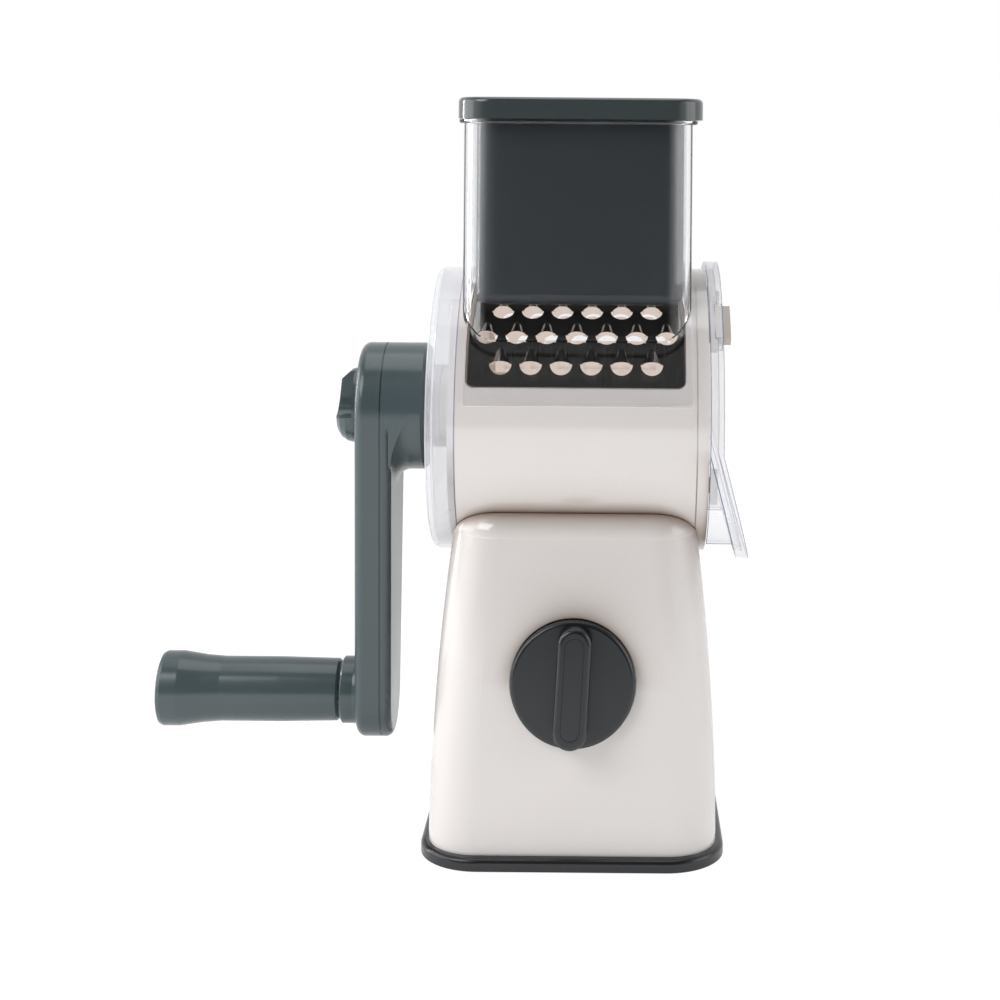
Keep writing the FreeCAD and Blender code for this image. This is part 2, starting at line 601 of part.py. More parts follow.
def suction_knob():
    """Disc with a raised grip bar, a socket for the shaft and a seat for the inset."""
    disc = new_body("knob_disc")
    sketch = new_sketch(disc, "XY_Plane", "body_gap - knob_recess")
    circle(sketch, "knob_radius")
    pad(disc, sketch, "knob_disc_top + knob_recess - body_gap")
    fillet(disc, "knob_edge", at_height(size("knob_disc_top")))
    bar = stadium("knob_bar", "knob_bar_width", "knob_bar_length", "0", "knob_bar_top")
    fillet(bar, "knob_bar_edge", at_height(size("knob_bar_top")))
    seat = stadium("knob_seat", "inset_width + 2 * seat_gap + 0.2",
                   "inset_length + 2 * seat_gap + 0.2", "knob_bar_top - inset_thick", LONG)
    socket = new_body("knob_socket")
    sketch = new_sketch(socket, "XY_Plane", "-20")
    polygon(sketch, square("bar_side + 2 * seat_gap"))
    pad(socket, sketch, "20 + knob_disc_top + 2")
    head = rod_z("knob_head_room", "knob_screw_head + 0.3", "knob_disc_top + 3.4", LONG)
    hole = rod_z("knob_hole", "knob_screw_radius + 0.1", "0", LONG)
    return on_knob_axis(cut("suction_knob", fuse("knob_solid", disc, bar),
                            seat, socket, head, hole))


def knob_inset():
    return on_knob_axis(stadium("knob_inset", "inset_width", "inset_length",
                                "knob_bar_top - inset_thick", "knob_bar_top - 0.1"))


def knob_screw():
    """Screw under the inset that holds the knob to the shaft."""
    head = rod_z("knob_screw_top", "knob_screw_head", "knob_disc_top + 3.4",
                 "knob_disc_top + 5.4")
    shank = rod_z("knob_screw_shank", "knob_screw_radius", "-6", "knob_disc_top + 4")
    return on_knob_axis(fuse("knob_screw", head, shank))


# --- Drum housing -------------------------------------------------------------------------

def barrel_housing():
    """White barrel with a window above, an end wall with the bearing boss, and a plug below."""
    left, right, groove = "-barrel_left", "barrel_right", "barrel_radius - groove_depth"
    wall_left = "-(barrel_left + end_wall)"
    spigot = "barrel_radius - cap_wall - seat_gap"
    groove_end = "groove_right + groove_width"
    tube = turned("barrel_tube", [
        ("-boss_end", "bush_radius + seat_gap"), ("-boss_end", "boss_radius"),
        (wall_left, "boss_radius"), (wall_left, spigot), (left, spigot),
        (left, "barrel_radius"), ("groove_right", "barrel_radius"), ("groove_right", groove),
        (groove_end, groove), (groove_end, "barrel_radius"), (right, "barrel_radius"),
        (right, "barrel_bore"), (left, "barrel_bore"), (left, "bush_radius + seat_gap")])
    tool = new_body("barrel_window")
    sketch = new_sketch(tool, "XZ_Plane")
    rounded_rectangle(sketch, "2 * window_half", "2 * (axis_height + 2 - window_bottom + 100)",
                      "window_corner", y="axis_height + 102")
    pad(tool, sketch, LONG, both_ways=True)
    plug = cut("barrel_plug",
               block("barrel_plug_block", ("-socket_width / 2", "socket_width / 2"),
                     ("-socket_depth / 2", "socket_depth / 2"),
                     (f"{BARREL_BOTTOM} - plug_drop", "axis_height - barrel_bore / 2")),
               rod_x("barrel_plug_trim", "barrel_bore + 1", "-200", "200"))
    return cut("barrel_housing", fuse("barrel_solid", tube, plug), tool)


def rear_cap():
    """Clear cover that snaps over the housing's crank end."""
    inner = "barrel_radius - cap_wall"
    bore = "boss_radius + 0.2"
    return turned("rear_cap", [
        ("-cap_end", bore), ("-cap_end", "barrel_radius - cap_edge"),
        ("-cap_end + 0.3 * cap_edge", "barrel_radius - 0.3 * cap_edge"),
        ("-cap_end + cap_edge", "barrel_radius"), ("-barrel_left - 0.2", "barrel_radius"),
        ("-barrel_left - 0.2", inner), ("-cap_end + cap_wall + 1", inner),
        ("-cap_end + cap_wall", f"{inner} - 1"), ("-cap_end + cap_wall", bore)])


def bearing_bush():
    """Plain bush with a collar outside the boss."""
    return turned("bearing_bush", [
        ("-boss_end - 1.2", "shaft_radius + running_gap"), ("-boss_end - 1.2", "bush_radius + 2"),
        ("-boss_end", "bush_radius + 2"), ("-boss_end", "bush_radius"),
        ("-barrel_left - 0.1", "bush_radius"), ("-barrel_left - 0.1", "shaft_radius + running_gap")])


def hopper():
    """Clear rounded chute that ends in a saddle round the barrel's window."""
    low = "saddle_bottom"
    chute = slab("hopper_chute", "hopper_width", "hopper_depth", "hopper_corner",
                 "axis_height", "hopper_top")
    lip = slab("hopper_lip", "hopper_width + 2 * lip_reach", "hopper_depth + 2 * lip_reach",
               "hopper_corner + lip_reach", "hopper_top - lip_height", "hopper_top")
    fillet(lip, "min(lip_round; lip_height - 0.2)",
           at_height(size("hopper_top") - size("lip_height")))
    sheet_ring = common("hopper_saddle",
                        rod_x("hopper_saddle_rod", f"{SADDLE_RADIUS} + saddle_thick",
                              "-saddle_left", "saddle_right"),
                        block("hopper_saddle_box", ("-200", "200"), ("-200", "200"),
                              (low, LONG)))
    solid = fuse("hopper_solid", chute, lip, sheet_ring)
    throat = slab("hopper_throat", "hopper_width - 2 * hopper_wall",
                  "hopper_depth - 2 * hopper_wall", "hopper_corner - hopper_wall",
                  "axis_height - 1", "hopper_top + 1")
    barrel = rod_x("hopper_barrel_room", SADDLE_RADIUS, "-200", "200")
    return cut("hopper", solid, throat, barrel)


def pusher_body():
    """Hollow block that follows the drum with an arch in its underside."""
    block_body = slab("pusher_block", "pusher_width", "pusher_depth", "pusher_corner",
                      "pusher_bottom", LID_BOTTOM, x="pusher_shift")
    fillet(block_body, "pusher_edge", at_height(size("pusher_bottom")))
    room = cut("pusher_room",
               slab("pusher_room_block", "pusher_width - 2 * pusher_wall",
                    "pusher_depth - 2 * pusher_wall", "pusher_corner - pusher_wall",
                    "pusher_bottom + pusher_wall", f"{LID_BOTTOM} + 1", x="pusher_shift"),
               rod_x("pusher_arch_wall", f"{ARCH_RADIUS} + pusher_wall", "-200", "200"))
    arch = rod_x("pusher_arch", ARCH_RADIUS, "-200", "200")
    return cut("pusher_body", block_body, room, arch)


def pusher_lid():
    """Dark cover of the pusher, which rests on the hopper and plugs into the pusher."""
    plate = slab("lid_plate", "lid_width", "lid_depth", "lid_corner", LID_BOTTOM,
                 f"{LID_BOTTOM} + lid_height", x="pusher_shift")
    fillet(plate, "lid_round",
           at_height(size("hopper_top") + size("body_gap") + size("lid_height")))
    inset = "2 * pusher_wall + 2 * seat_gap"
    plug = slab("lid_plug", f"pusher_width - ({inset})", f"pusher_depth - ({inset})",
                "pusher_corner - pusher_wall - seat_gap", f"{LID_BOTTOM} - lid_plug",
                f"{LID_BOTTOM} + 1", x="pusher_shift")
    hollow = slab("lid_hollow", f"pusher_width - ({inset}) - 4", f"pusher_depth - ({inset}) - 4",
                  "pusher_corner - pusher_wall - seat_gap - 2", f"{LID_BOTTOM} - lid_plug - 1",
                  f"{LID_BOTTOM}", x="pusher_shift")
    return cut("pusher_lid", fuse("lid_solid", plate, plug), hollow)


# --- Drum ---------------------------------------------------------------------------------

def tooth_spots():
    """Angle above the front horizon and station along the drum of each tooth."""
    row_angle = math.degrees(size("row_pitch") / size("drum_radius"))
    pitch = size("hole_pitch")
    count = int(size("row_holes"))
    for row in range(int(size("drum_rows"))):
        in_row = count - 1 if row % 2 == 0 else count
        for index in range(in_row):
            yield (size("first_row_angle") + row * row_angle,
                   (index - (in_row - 1) / 2) * pitch)


def lying_cone(inset):
    """A cone with its axis under the sheet, so that only a pointed dome stands proud."""
    rise, half, length = size("tooth_rise"), size("tooth_width") / 2, size("tooth_length")
    depth = (half ** 2 - rise ** 2) / (2 * rise)
    wide, reach = depth + rise - inset, length + 2
    cone = Part.makeCone(wide, wide - rise / length * reach, reach, FreeCAD.Vector(),
                         FreeCAD.Vector(0, 1, 0))
    lean = math.degrees(length / 2 / size("drum_radius"))
    cone.rotate(FreeCAD.Vector(), FreeCAD.Vector(1, 0, 0), -lean)
    cone.translate(FreeCAD.Vector(0, 0, size("drum_radius") - depth))
    return cone


def tooth_shapes():
    """One hole's cutter and one raised tooth, at the top of the drum and facing along -Y.
    The hole is a half-moon whose straight side bows up a little under the tooth."""
    radius, half = size("drum_radius"), size("tooth_width") / 2
    bow = size("mouth_rise") + 0.1
    bow_radius = (half ** 2 + bow ** 2) / (2 * bow)
    low = FreeCAD.Vector(0, 0, radius - 4)
    moon = Part.makeCylinder(size("hole_radius"), 8, low)
    moon = moon.cut(Part.makeBox(40, 40, 40, FreeCAD.Vector(-20, 0, radius - 20)))
    arch = Part.makeCylinder(bow_radius, 8, low + FreeCAD.Vector(0, bow - 0.1 - bow_radius, 0))
    arch = arch.common(Part.makeBox(40, 20, 40, FreeCAD.Vector(-20, -0.1, radius - 20)))
    inside = Part.makeCylinder(radius - size("drum_sheet") / 2, 60, FreeCAD.Vector(-30, 0, 0),
                               FreeCAD.Vector(1, 0, 0))
    return moon.fuse([arch, lying_cone(size("tooth_skin"))]), lying_cone(0).cut(inside)


def on_drum(shape, angle, station):
    """Carries a shape from the drum's top to an angle measured from the front horizon."""
    copy = shape.copy()
    copy.rotate(FreeCAD.Vector(), FreeCAD.Vector(1, 0, 0), 90 - angle)
    copy.translate(FreeCAD.Vector(station, 0, 0))
    return copy


def drum_sheet():
    """Rolled steel sheet with rows of half-moon holes, each under a raised tooth."""
    radius, sheet_thick = size("drum_radius"), size("drum_sheet")
    length = size("drum_left") + size("drum_right")
    start = FreeCAD.Vector(-size("drum_left"), 0, 0)
    along = FreeCAD.Vector(1, 0, 0)
    outer = Part.makeCylinder(radius, length, start, along)
    inner = Part.makeCylinder(radius - sheet_thick, length, start, along)
    opening, tooth = tooth_shapes()
    teeth = [on_drum(tooth, *spot) for spot in tooth_spots()]
    openings = [on_drum(opening, *spot) for spot in tooth_spots()]
    steel = outer.fuse(teeth).cut(inner).cut(openings)
    drum = doc.addObject("Part::Feature", "drum_sheet")
    drum.Shape = steel.Solids[0] if len(steel.Solids) == 1 else steel
    return place(drum, z="axis_height")


def drum_hub():
    """Disc that carries the drum on the shaft's key."""
    edge = "drum_radius - drum_sheet - seat_gap"
    left = "-drum_left"
    disc = turned("hub_disc_solid", [
        (left, "4"), (left, edge), (f"{left} + hub_disc + 3", edge),
        (f"{left} + hub_disc + 3", f"{edge} - 2.4"), (f"{left} + hub_disc", f"{edge} - 2.4"),
        (f"{left} + hub_disc", "hub_radius"), (f"{left} + hub_length", "hub_radius"),
        (f"{left} + hub_length", "4")])
    socket = key_bar("hub_socket", hexagon("drum_key + 2 * seat_gap"), "-drum_left - 1",
                     "-drum_left + hub_length + 1")
    return cut("drum_hub", disc, socket)


def drum_front_ring():
    """Moulded ring that stiffens the drum's open end."""
    edge = "drum_radius - drum_sheet - seat_gap"
    start, end = "drum_right - front_ring_width", "drum_right + front_lip"
    lip = "drum_radius"
    return turned("drum_front_ring", [
        (start, f"{edge} - front_ring_wall"), (start, edge), ("drum_right + seat_gap", edge),
        ("drum_right + seat_gap", lip), (end, lip), (end, f"{edge} - front_ring_wall")])


def drive_shaft():
    """Shaft with a key for the drum, a flange, a journal and a key for the crank."""
    journal_end = "-barrel_left + 0.2"
    flange_end = f"{journal_end} + flange_thick"
    crank_start = "-crank_hub_inner + 0.3"
    core = turned("shaft_core", [
        (crank_start, "bolt_radius"), (crank_start, "shaft_radius"),
        (journal_end, "shaft_radius"), (journal_end, "flange_radius"),
        (flange_end, "flange_radius"), (flange_end, "bolt_radius")])
    drum_key = key_bar("shaft_drum_key", hexagon("drum_key"), f"{flange_end} - 1",
                       f"{flange_end} + drum_key_length")
    crank_key = key_bar("shaft_crank_key", hexagon("crank_key"),
                        f"{crank_start} - crank_key_length", f"{crank_start} + 1")
    hole = rod_x("shaft_bolt_hole", "bolt_radius", "-200", "-barrel_left - 2")
    return cut("drive_shaft", fuse("shaft_all", core, drum_key, crank_key), hole)


# --- Crank, grip and lock -----------------------------------------------------------------

def arm_plate(name, inset, start, end):
    """The arm's outline, a tangent pair of circles, between two stations along X."""
    body = new_body(name)
    sketch = new_sketch(body, "YZ_Plane", start)
    two_round_ends(sketch, ("0", "axis_height"), f"crank_hub_radius - ({inset})",
                   ("0", HANDLE_HEIGHT), f"crank_end_radius - ({inset})")
    pad(body, sketch, f"{end} - ({start})")
    return body


def crank_outer_shell():
    """Outer half of the arm, with a hole for the lock bolt and one for the spindle."""
    plate = arm_plate("outer_plate", "0", "-crank_outer", "-crank_seam")
    fillet(plate, "crank_edge", at_station(-size("crank_outer")))
    room = arm_plate("outer_room", "crank_wall + 1", "-crank_outer + crank_wall",
                     "-crank_seam + 1")
    rims = [rod_x("outer_lock_rim", "bolt_radius + 3", "-crank_outer + 0.5", "-crank_seam"),
            rod_x("outer_pin_rim", "spindle_radius + 3", "-crank_outer + 0.5", "-crank_seam",
                  z=HANDLE_HEIGHT)]
    hollow = cut("outer_hollow", room, *rims)
    bolt = rod_x("outer_bolt_hole", "bolt_radius + 0.3", "-200", "0")
    pin_hole = rod_x("outer_pin_hole", "spindle_radius + seat_gap", "-200", "0",
                     z=HANDLE_HEIGHT)
    return cut("crank_outer_shell", plate, hollow, bolt, pin_hole)


def crank_inner_shell():
    """Inner half of the arm, whose hub flares into the arm and holds the shaft's key."""
    seam = "-crank_seam + seam_groove"
    lip = arm_plate("inner_lip", "seam_groove", "-crank_seam", seam)
    plate = arm_plate("inner_plate", "0", seam, "-crank_inner")
    fillet(plate, "crank_inner_edge", at_station(-size("crank_inner")))
    core = turned("inner_hub_turned", [
        (seam, "0"), (seam, "crank_hub_radius"), ("-crank_hub_inner - 1.2", "crank_hub_radius"),
        ("-crank_hub_inner", "crank_hub_radius - 1.2"), ("-crank_hub_inner", "0")])
    hub = common("inner_hub", core, arm_plate("inner_hub_limit", "0", seam, "0"))
    disc = rod_x("inner_flare_disc", "crank_hub_radius + hub_flare", "-crank_inner - 1",
                 "-crank_inner + hub_flare")
    hollow_ring = primitive("Torus", "inner_flare_ring",
                            {"Radius1": "crank_hub_radius + hub_flare", "Radius2": "hub_flare"},
                            x="-crank_inner + hub_flare", z="axis_height", axis=(0, 1, 0),
                            angle="90 deg")
    flare = common("inner_flare", cut("inner_flare_turned", disc, hollow_ring),
                   arm_plate("inner_flare_limit", "0", seam, "0"))
    solid = fuse("inner_solid", lip, plate, hub, flare)
    room = arm_plate("inner_room", "crank_wall + 1", "-crank_seam - 1",
                     "-crank_inner - crank_wall")
    hub_room = rod_x("inner_hub_room", "crank_hub_radius - crank_wall - 0.6", "-crank_seam - 1",
                     "-crank_hub_inner - crank_wall")
    core = rod_x("inner_core", "crank_socket_radius", "-crank_seam - 1", "0")
    hollow = cut("inner_hollow", fuse("inner_rooms", room, hub_room), core)
    socket = key_bar("inner_socket", hexagon("crank_key + 2 * running_gap"),
                     "-crank_hub_inner - crank_key_length", "0")
    bolt = rod_x("inner_bolt_hole", "bolt_radius + 0.3", "-200", "0")
    return cut("crank_inner_shell", solid, hollow, socket, bolt)


def grip_collar():
    """Dark collar between the arm and the turning grip."""
    start = "-(crank_outer + collar_length)"
    return turned("grip_collar", [
        (start, "spindle_radius + seat_gap"), (start, "collar_radius - 0.6"),
        (f"{start} + 0.6", "collar_radius"), ("-crank_outer - 1.5", "collar_radius"),
        ("-crank_outer", "collar_radius + 0.4"), ("-crank_outer", "spindle_radius + seat_gap")],
        height=HANDLE_HEIGHT)


GRIP_START = "-(crank_outer + collar_length + grip_gap)"
GRIP_END = f"({GRIP_START} - grip_length)"
POCKET_FLOOR = f"({GRIP_END} + grip_pocket_depth)"


def handle_spindle():
    """Steel pin, headed inside the arm, on which the grip turns."""
    return turned("handle_spindle", [
        (f"{POCKET_FLOOR} - 0.4", "1.9"), (f"{POCKET_FLOOR} - 0.4", "spindle_radius"),
        ("-crank_seam + 0.1", "spindle_radius"), ("-crank_seam + 0.1", "spindle_head"),
        ("-crank_seam + 0.1 + spindle_head_thick - 0.2", "spindle_head"),
        ("-crank_seam + 0.1 + spindle_head_thick - 0.2", "0"),
        (f"{POCKET_FLOOR} + 9", "0"), (f"{POCKET_FLOOR} + 9", "1.9")], height=HANDLE_HEIGHT)


def handle_grip():
    """Turned grip that widens to a band at its free end."""
    bore = "spindle_radius + running_gap"
    return turned("handle_grip", [
        (GRIP_START, bore), (GRIP_START, "grip_neck_radius - 1"),
        (f"{GRIP_START} - 1", "grip_neck_radius"),
        (f"{GRIP_START} - grip_length / 3", "grip_radius"),
        (f"{GRIP_END} + grip_band + grip_taper", "grip_radius"),
        (f"{GRIP_END} + grip_band + grip_taper / 2", "(grip_radius + grip_end_radius) / 2 - 0.4"),
        (f"{GRIP_END} + grip_band", "grip_end_radius - 0.3"),
        (f"{GRIP_END} + grip_band - 2", "grip_end_radius"),
        (f"{GRIP_END} + grip_edge", "grip_end_radius"),
        (f"{GRIP_END} + 0.3 * grip_edge", "grip_end_radius - 0.3 * grip_edge"),
        (GRIP_END, "grip_end_radius - grip_edge"), (GRIP_END, "grip_pocket_radius"),
        (POCKET_FLOOR, "grip_pocket_radius"), (POCKET_FLOOR, bore)], height=HANDLE_HEIGHT)


def grip_retainer():
    """Screw with a wide head that keeps the grip on its spindle."""
    floor = f"{POCKET_FLOOR} - 0.7"
    return turned("grip_retainer", [
        (f"{floor} - 3", "0"), (f"{floor} - 3", "3.2"), (f"{floor} - 1.2", "3.2"),
        (f"{floor} - 1.2", "retainer_radius"), (floor, "retainer_radius"), (floor, "1.85"),
        (f"{floor} + 8.5", "1.85"), (f"{floor} + 8.5", "0")], height=HANDLE_HEIGHT)


def grip_end_cap():
    """Disc that closes the grip's free end."""
    edge = "grip_pocket_radius - seat_gap"
    return turned("grip_end_cap", [
        (f"{GRIP_END} - 0.2", "0"), (f"{GRIP_END} - 0.2", f"{edge} - 0.5"),
        (f"{GRIP_END} + 0.3", edge), (f"{GRIP_END} + end_cap_thick", edge),
        (f"{GRIP_END} + end_cap_thick", "0")], height=HANDLE_HEIGHT)


def crank_lock_knob():
    """Round knob with a finger scoop on each side of an upright fin."""
    base = "-(crank_outer + lock_seat)"
    face = f"({base} - lock_height)"
    steps = 4
    outline = [(base, "0"), (base, "lock_radius")]
    for step in range(steps + 1):
        turn = 90 * step / steps
        outline.append((f"{face} + lock_round * (1 - sin({turn} deg))",
                        f"lock_radius - lock_round * (1 - cos({turn} deg))"))
    outline.append((face, "0"))
    knob = turned("lock_blank", outline)
    scoops = []
    for side in (-1, 1):
        tool = new_body("lock_scoop")
        sketch = new_sketch(tool, "YZ_Plane", f"{face} - 1")
        low = f"{side} * (lock_fin / 2 + lock_radius / 2)"
        two_round_ends(sketch, (low, "axis_height + 2 * lock_radius"), "lock_radius / 2",
                       (low, "axis_height - lock_scoop_end + lock_radius / 2"),
                       "lock_radius / 2")
        pad(tool, sketch, "lock_height - lock_floor + 1")
        scoops.append(tool)
    slope = prism_y("lock_top_slope", [
        (f"{face} - 3", "axis_height - lock_radius / 2"),
        (face, "axis_height - lock_radius / 2"),
        (f"{face} + lock_lean", "axis_height + lock_radius * 0.74"),
        (f"{face} + lock_slope", "axis_height + lock_radius + 0.2"),
        (f"{face} - 3", "axis_height + lock_radius + 0.2")])
    socket = rod_x("lock_socket", "bolt_radius + seat_gap", f"{base} - 5", "0")
    return cut("crank_lock_knob", knob, *scoops, slope, socket)


def lock_bolt():
    """Bolt fixed in the lock knob, which holds the crank to the shaft."""
    start = "-(crank_outer + lock_seat) - 4.8"
    return rod_x("lock_bolt", "bolt_radius - running_gap", start,
                 "-crank_hub_inner - crank_key_length + 10")


# --- Guard and its latches ----------------------------------------------------------------

def guard_section(shift, top="axis_height + 80", bottom="axis_height - 80"):
    """Side section between the guard's mouth and its face, moved along X by a shift."""
    bend = "axis_height - bend_drop"
    far = f"guard_start + guard_depth + ({shift})"
    drop = f"({bend} - ({bottom}))"
    return [("guard_start", bottom), (f"{far} + {drop} * tan(spout_slope)", bottom),
            (far, bend), (far, top), ("guard_start", top)]


def guard():
    """Clear hood over the drum's mouth, whose lower half leans out into a spout."""
    outer = common("guard_outer", rod_x("guard_rod", "guard_radius", "guard_start", "120"),
                   prism_y("guard_outer_prism", guard_section("0")))
    room = common("guard_room",
                  rod_x("guard_bore", "guard_radius - guard_wall", "guard_start", "120"),
                  prism_y("guard_room_prism", guard_section("-guard_face")))
    web = prism_y("guard_web_prism", [
        ("guard_start - 5", "axis_height - 90"),
        ("guard_start + (90 - bend_drop) * tan(spout_slope)", "axis_height - 90"),
        ("guard_start", "axis_height - bend_drop"),
        ("guard_start - 5", "axis_height - bend_drop")])
    trim = common("guard_trim", web,
                  cut("guard_trim_ring", rod_x("guard_trim_rod", "guard_radius + 5", "40", "110"),
                      rod_x("guard_trim_core", "web_radius", "30", "120")))
    outlet = common("guard_outlet", web,
                    block("guard_outlet_box", ("guard_start - 5", "120"),
                          ("-outlet_half", "outlet_half"),
                          ("axis_height - 90", "axis_height - outlet_drop")))
    slots = []
    for side in (-1, 1):
        slots.append(latch_block("guard_slot", side, "latch_angle", "thumb_length + 0.8",
                                 "guard_start + guard_depth - guard_face - 1", "70",
                                 f"{LATCH_TOP} - latch_depth - latch_travel - 1.8",
                                 f"{LATCH_TOP} + 0.3"))
    return cut("guard", outer, room, trim, outlet, *slots)


def latch_block(name, side, angle, length, start, end, low, high):
    """A box set round the axis: along X, across the rim, and between two radii."""
    turn = f"{side} * (90 deg - ({angle}) * 1 deg)"
    tangent = f"(-({length}) / 2)"
    sizes = {"Length": f"{end} - ({start})", "Width": length, "Height": f"{high} - ({low})"}
    return primitive("Box", name, sizes, x=start,
                     y=f"{tangent} * cos({turn}) - ({low}) * sin({turn})",
                     z=f"axis_height + {tangent} * sin({turn}) + ({low}) * cos({turn})",
                     axis=(1, 0, 0), angle=turn)


def under_rim(name, top, side, angle, length, start, end, low):
    """A box set round the axis whose outer face follows a circle of radius top."""
    box = latch_block(name, side, angle, length, start, end, low, f"{top} + 1")
    return common(name + "_curved", box, rod_x(name + "_rod", top, "0", "120"))


def latch(name, side):
    """Press latch: a block inside the rim, a thumb through the face, a finger in the bore."""
    face = "guard_start + guard_depth - guard_face"
    body = under_rim(name + "_block", LATCH_TOP, side, "latch_angle", "latch_length",
                     "guard_start + 0.4", f"{face} - body_gap", f"{LATCH_TOP} - latch_depth")
    thumb = under_rim(name + "_thumb", LATCH_TOP, side, "latch_angle", "thumb_length",
                      f"{face} - body_gap - 1", "guard_start + guard_depth + thumb_proud",
                      f"{LATCH_TOP} - latch_depth")
    finger = under_rim(name + "_finger", FINGER_TOP, side, "latch_angle", "latch_length - 8",
                       "guard_start - finger_length", "guard_start + 1",
                       f"{FINGER_TOP} - finger_thick")
    return fuse(name, body, thumb, finger)


def hook(name, side):
    """Fixed hook on the guard's lower rim, with a finger in the barrel's bore."""
    face = "guard_start + guard_depth - guard_face"
    body = under_rim(name + "_block", "(guard_radius - guard_wall - seat_gap)", side,
                     "-hook_angle", "hook_length", "guard_start + 0.4", f"{face} - seat_gap",
                     f"{LATCH_TOP} - latch_depth")
    finger = under_rim(name + "_finger", FINGER_TOP, side, "-hook_angle", "hook_length - 6",
                       "guard_start - finger_length", "guard_start + 1",
                       f"{FINGER_TOP} - finger_thick")
    return fuse(name, body, finger)


# --- The whole shredder -------------------------------------------------------------------

SUB_PARTS = [
    base_frame(), base_screws(), base_shell(), suction_pad(), pull_stem(), cam_shaft(),
    shaft_clip(), lift_cam(), suction_knob(), knob_inset(), knob_screw(), barrel_housing(),
    rear_cap(), bearing_bush(), hopper(), pusher_body(), pusher_lid(), drum_sheet(), drum_hub(),
    drum_front_ring(), drive_shaft(), crank_outer_shell(), crank_inner_shell(), grip_collar(),
    handle_spindle(), handle_grip(), grip_retainer(), grip_end_cap(), crank_lock_knob(),
    lock_bolt(), guard(), latch("latch_front", 1), latch("latch_rear", -1),
    hook("hook_front", 1), hook("hook_rear", -1),
]

doc.recompute()
for item in doc.Objects:
    if "Invalid" in item.State or "Error" in item.State:
        raise RuntimeError(f"{item.Name} failed: {item.State}")
for part in SUB_PARTS:
    shape = part.Shape
    if shape.isNull() or not shape.isValid():
        raise RuntimeError(f"{part.Label} has no valid shape")
    print(part.Label, len(shape.Solids), round(shape.Volume), shape.BoundBox)
for part in SUB_PARTS:
    part.Shape.exportStep(f"parts/{part.Label}.step")
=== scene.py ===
import math

import bpy
import numpy as np
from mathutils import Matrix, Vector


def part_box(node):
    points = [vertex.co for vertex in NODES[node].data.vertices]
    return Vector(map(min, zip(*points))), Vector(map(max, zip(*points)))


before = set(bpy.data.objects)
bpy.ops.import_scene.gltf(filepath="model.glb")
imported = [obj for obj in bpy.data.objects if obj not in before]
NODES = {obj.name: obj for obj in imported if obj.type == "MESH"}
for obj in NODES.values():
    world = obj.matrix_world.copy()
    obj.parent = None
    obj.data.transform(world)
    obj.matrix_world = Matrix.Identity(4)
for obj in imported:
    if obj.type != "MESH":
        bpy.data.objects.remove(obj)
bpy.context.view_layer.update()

bl_info = {
    "name": "Rotary Shredder Looks",
    "version": (1, 0, 0),
    "blender": (4, 5, 0),
    "location": "View3D > Sidebar > Shredder",
    "description": "Finishes a hand-cranked drum shredder and sets up its studio",
    "category": "Object",
}

MM = 0.001

# The drum's axis, and the housing's bore round it. The bore's two limits lie inside the walls,
# so that they take in its skin and the end wall's inner face, and nothing of the outside.
RING_LOW, RING_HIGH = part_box("drum_front_ring")
AXIS_HEIGHT = (RING_LOW.z + RING_HIGH.z) / 2
BORE_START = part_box("drum_sheet")[0].x - 2.2 * MM
BORE_RADIUS = (RING_HIGH.z - RING_LOW.z) / 2 + 3.4 * MM

# The joint between the drum housing and the base has a painted shade. The painted shade is full
# as far as JOINT_NEAR from its height, has ended at JOINT_FAR, and comes from walls closer
# together than JOINT_REACH.
# Where the plastic is no more open than JOINT_DEEP it has the full colour of the painted shade.
JOINT_HEIGHT = AXIS_HEIGHT - 50 * MM
JOINT_NEAR = 20 * MM
JOINT_FAR = 44 * MM
JOINT_REACH = 30 * MM
JOINT_DEEP = 0.42

# Moulded plastic: the size of the patches in its gloss, how far the roughness strays in them,
# and how much darker they get.
PATCH_SIZE = 62.5 * MM
GLOSS_SPREAD = 0.04
PATCH_SHADE = 0.97

# Clear plastic: its flow waves, the colour of the light that it lets through, and the width of
# the edge that carries a painted line on a thin cover, which stands for the light that its
# corners bend. A painted line starts where the rounded edge turns from the face by the first
# cosine, and is full at the second.
WAVE_LENGTH = 1000 / 24 * MM
CLEAR_LIGHT = "#f9fafc"
EDGE_WIDTH = 0.6 * MM
EDGE_STARTS = 0.998
EDGE_FULL = 0.94

# How much a thin cover hides: face on, and where it turns fully away.
COVER_FACE_ON = 0.24
COVER_TURNED = 0.55

# Rolled steel: the pitch of the rollers' lines, and how far they are drawn out round the drum.
# The real lines are finer. They are drawn as coarse as they need to show.
LINE_PITCH = 2 / 3 * MM
LINE_STRETCH = 0.06

# The drum's inside: the strength of the painted glow on the housing's bore and on the drum's
# lining, which stands for the light inside the drum, and the cosine to the outward direction
# below which a face is the inner side or the edge of a hole.
BORE_GLOW = 0.6
LINING_GLOW = 0.8
INWARD = 0.25

# The room's light by heading: the share of the heading along an axis at which it starts and
# at which it is full. ROOM_AHEAD is the way that the camera looks.
ROOM_SIDES = (0.5, 0.85)
ROOM_BEHIND = ("Y", -0.1, 0.4)
ROOM_ABOVE = ("Z", 0.94, 0.99)
ROOM_AHEAD = (0.55, 0.85)

# The floor: how far it reaches, its front edge, and the two depths between which the light of
# its front part rises.
FLOOR_REACH = 3.0
FLOOR_FRONT = -1.07
FLOOR_LIGHT = (0.06, -0.1)


def linear(hex_colour):
    """sRGB hex text to a linear RGBA colour."""
    channels = [int(hex_colour[i:i + 2], 16) / 255 for i in (1, 3, 5)]
    return (*[c / 12.92 if c <= 0.04045 else ((c + 0.055) / 1.055) ** 2.4
              for c in channels], 1.0)


# --- Materials ----------------------------------------------------------------------------

